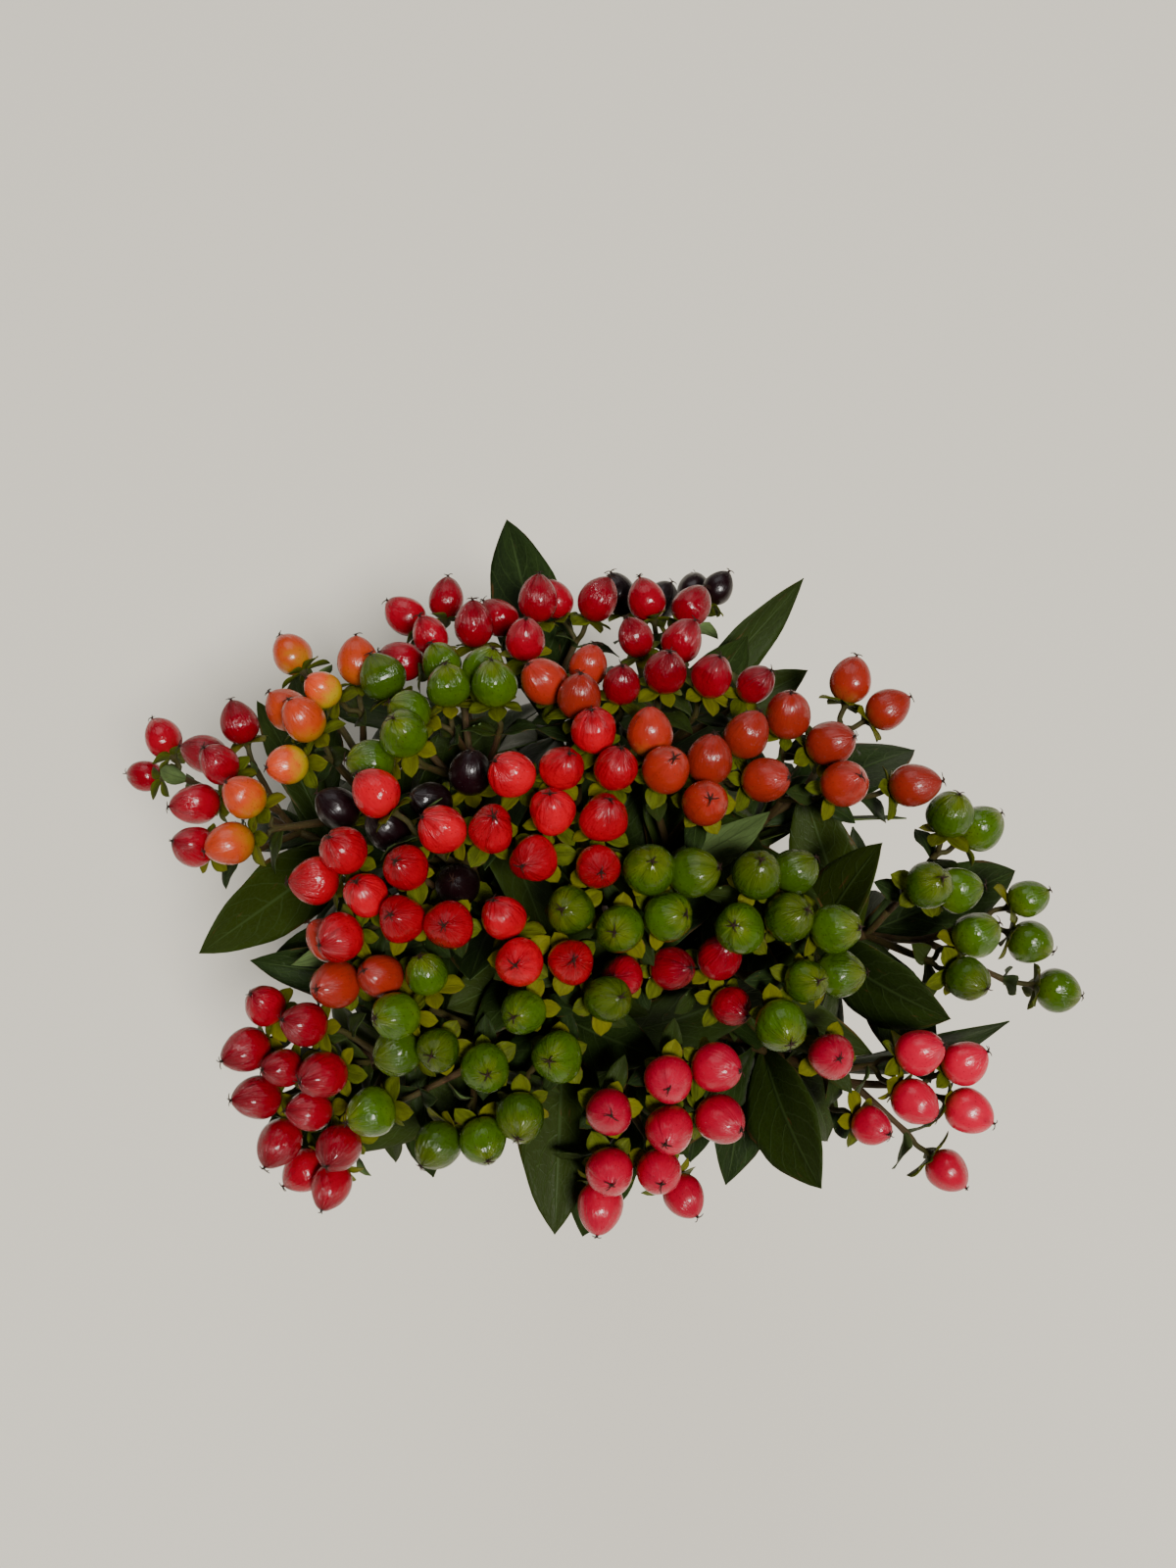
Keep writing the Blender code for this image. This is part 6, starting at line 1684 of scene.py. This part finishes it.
class HYPERICUM_OT_berries(bpy.types.Operator):
    """Grow the berries of every stem, each with its own furrows, dents and dried styles."""

    bl_idname = "hypericum.berries"
    bl_label = "Grow berries"

    def execute(self, context):
        looks = context.scene.hypericum_berries
        tree, _, calyxes, _ = grown_bunch()
        finishes = {}
        for variety in BERRY_FORMS:
            colours = [tuple(getattr(looks, variety + part)) for part in BERRY_PARTS]
            finishes[variety] = berry_finish(variety, *colours, looks.gloss)
        for grown in tree.stems:
            source = chance("berries", grown["name"])
            variety = grown["variety"]
            skin = Skin("rise", "seam", "shade")
            styles = Skin("age")
            for _, middle, axis, one in berries_of(tree, calyxes, grown):
                tip = ripe_berry(skin, middle, axis, one, variety, source)
                dried_styles(styles, tip, axis, one, source, looks.styles)
            skin.piece(grown["name"] + "_berries", finishes[variety], "berry_" + variety, grown["name"])
            styles.piece(grown["name"] + "_styles", bpy.data.materials["bark"], "bark", grown["name"])
        return {"FINISHED"}


class HYPERICUM_OT_sepals(bpy.types.Operator):
    """Grow five sepals under every berry."""

    bl_idname = "hypericum.sepals"
    bl_label = "Grow sepals"

    def execute(self, context):
        tree, _, calyxes, _ = grown_bunch()
        finish = blade_finish("calyx", context.scene.hypericum_sepals, 0.75, 0.45)
        for grown in tree.stems:
            source = chance("sepals", grown["name"])
            skin = Skin("side", "shade")
            for berry, middle, axis, one in berries_of(tree, calyxes, grown):
                base = middle - axis * (BERRY_HALF_LENGTH + SEPAL_SINK)
                other = np.cross(axis, one)
                for sepal, size in enumerate(SEPAL_SIZES):
                    angle = sepal * math.tau / SEPALS + source.uniform(-0.12, 0.12)
                    reach = calyxes[berry]["reaches"][sepal]
                    spread_sepal(skin, base, axis, turned(one, other, angle), reach, size, source)
            skin.piece(grown["name"] + "_sepals", finish, "calyx", grown["name"])
        return {"FINISHED"}


class HYPERICUM_OT_leaves(bpy.types.Operator):
    """Grow the leaves of every stem and the small bracts at its forks."""

    bl_idname = "hypericum.leaves"
    bl_label = "Grow leaves"

    def execute(self, context):
        looks = context.scene.hypericum_leaves
        tree, room, _, leaves = grown_bunch()
        finish = blade_finish("leaf", looks, 0.6, 0.46)
        more = thin_leaves(tree, room)
        for number, grown in enumerate(tree.stems):
            source = chance("leaves", grown["name"])
            skin = Skin("side", "shade")
            for leaf in leaves[number] + more[number]:
                full_leaf(skin, leaf, source, 0.5 * looks.thickness)
            for leaf in fork_bracts(tree, grown, number, room):
                full_leaf(skin, leaf, source, 0.3 * looks.thickness, BRACT_ROWS, BRACT_COLUMNS)
            skin.piece(grown["name"] + "_leaves", finish, "leaf", grown["name"])
        return {"FINISHED"}


class HYPERICUM_OT_twine(bpy.types.Operator):
    """Wind the twine round the stems and knot it."""

    bl_idname = "hypericum.twine"
    bl_label = "Tie twine"

    def execute(self, context):
        looks = context.scene.hypericum_twine
        tree = grown_bunch()[0]
        skin = bound_twine(tree, looks.radius, chance("twine"))
        skin.piece("twine_binding", twine_finish(tuple(looks.fibre)), "twine", "twine_tie")
        return {"FINISHED"}


def area_lamp(name, place, size, colour, power):
    """A soft lamp that looks at the berries."""
    light = bpy.data.lights.new(name, "AREA")
    light.shape = "RECTANGLE"
    light.size, light.size_y = size
    light.energy = power
    light.color = colour
    lamp = bpy.data.objects.new(name, light)
    lamp.location = place
    lamp.rotation_euler = (Vector(LIT_PLACE) - Vector(place)).to_track_quat("-Z", "Y").to_euler()
    bpy.context.scene.collection.objects.link(lamp)


class HYPERICUM_OT_stage(bpy.types.Operator):
    """Set up the floor, the soft studio light and the camera."""

    bl_idname = "hypericum.stage"
    bl_label = "Set up stage"

    def execute(self, context):
        looks = context.scene.hypericum_stage
        form = bmesh.new()
        bmesh.ops.create_grid(form, x_segments=4, y_segments=4, size=0.5 * looks.floor_size)
        mesh = bpy.data.meshes.new("floor")
        form.to_mesh(mesh)
        form.free()
        mesh.materials.append(floor_finish(tuple(looks.floor)))
        floor = bpy.data.objects.new("floor", mesh)
        context.scene.collection.objects.link(floor)

        world = bpy.data.worlds.new("room")
        world.use_nodes = True
        background = world.node_tree.nodes["Background"]
        background.inputs["Color"].default_value = ROOM_COLOUR
        background.inputs["Strength"].default_value = looks.room
        context.scene.world = world
        area_lamp("window", *WINDOW, looks.lamp)
        area_lamp("back", *BACK, looks.back_lamp)

        lens = bpy.data.cameras.new("camera")
        lens.sensor_fit = "VERTICAL"
        lens.sensor_height = FILM_HEIGHT
        lens.lens = lens.sensor_height * PICTURE_FOCUS / (2.0 * PICTURE_MIDDLE[1])
        lens.clip_start = 0.01
        camera = bpy.data.objects.new("camera", lens)
        camera.location = VIEW_POINT + np.array(TIE_PLACE)
        camera.rotation_euler = Vector(VIEW_FORWARD).to_track_quat("-Z", "Y").to_euler()
        context.scene.collection.objects.link(camera)
        context.scene.camera = camera
        return {"FINISHED"}


OPERATORS = (
    HYPERICUM_OT_wood, HYPERICUM_OT_berries, HYPERICUM_OT_sepals, HYPERICUM_OT_leaves, HYPERICUM_OT_twine,
    HYPERICUM_OT_stage)
LOOKS = {
    "wood": WoodLooks, "berries": BerryLooks, "sepals": SepalLooks, "leaves": LeafLooks, "twine": TwineLooks,
    "stage": StageLooks}


class HYPERICUM_PT_bunch(bpy.types.Panel):
    """Lists what grows on the bunch, with its sizes and colours."""

    bl_idname = "HYPERICUM_PT_bunch"
    bl_label = "Hypericum bunch"
    bl_space_type = "VIEW_3D"
    bl_region_type = "UI"
    bl_category = "Hypericum"

    def draw(self, context):
        for operator, name in zip(OPERATORS, LOOKS):
            box = self.layout.box()
            box.operator(operator.bl_idname)
            looks = getattr(context.scene, "hypericum_" + name)
            for prop in looks.bl_rna.properties:
                if prop.identifier not in ("rna_type", "name"):
                    box.prop(looks, prop.identifier)


CLASSES = (*LOOKS.values(), *OPERATORS, HYPERICUM_PT_bunch)


def register():
    for kind in CLASSES:
        bpy.utils.register_class(kind)
    for name, kind in LOOKS.items():
        setattr(bpy.types.Scene, "hypericum_" + name, PointerProperty(type=kind))


def unregister():
    for name in LOOKS:
        delattr(bpy.types.Scene, "hypericum_" + name)
    for kind in reversed(CLASSES):
        bpy.utils.unregister_class(kind)


def main():
    """Builds everything, in the order of the panel."""
    register()
    bpy.ops.hypericum.wood()
    bpy.ops.hypericum.berries()
    bpy.ops.hypericum.sepals()
    bpy.ops.hypericum.leaves()
    bpy.ops.hypericum.twine()
    bpy.ops.hypericum.stage()


if __name__ == "__main__":
    main()
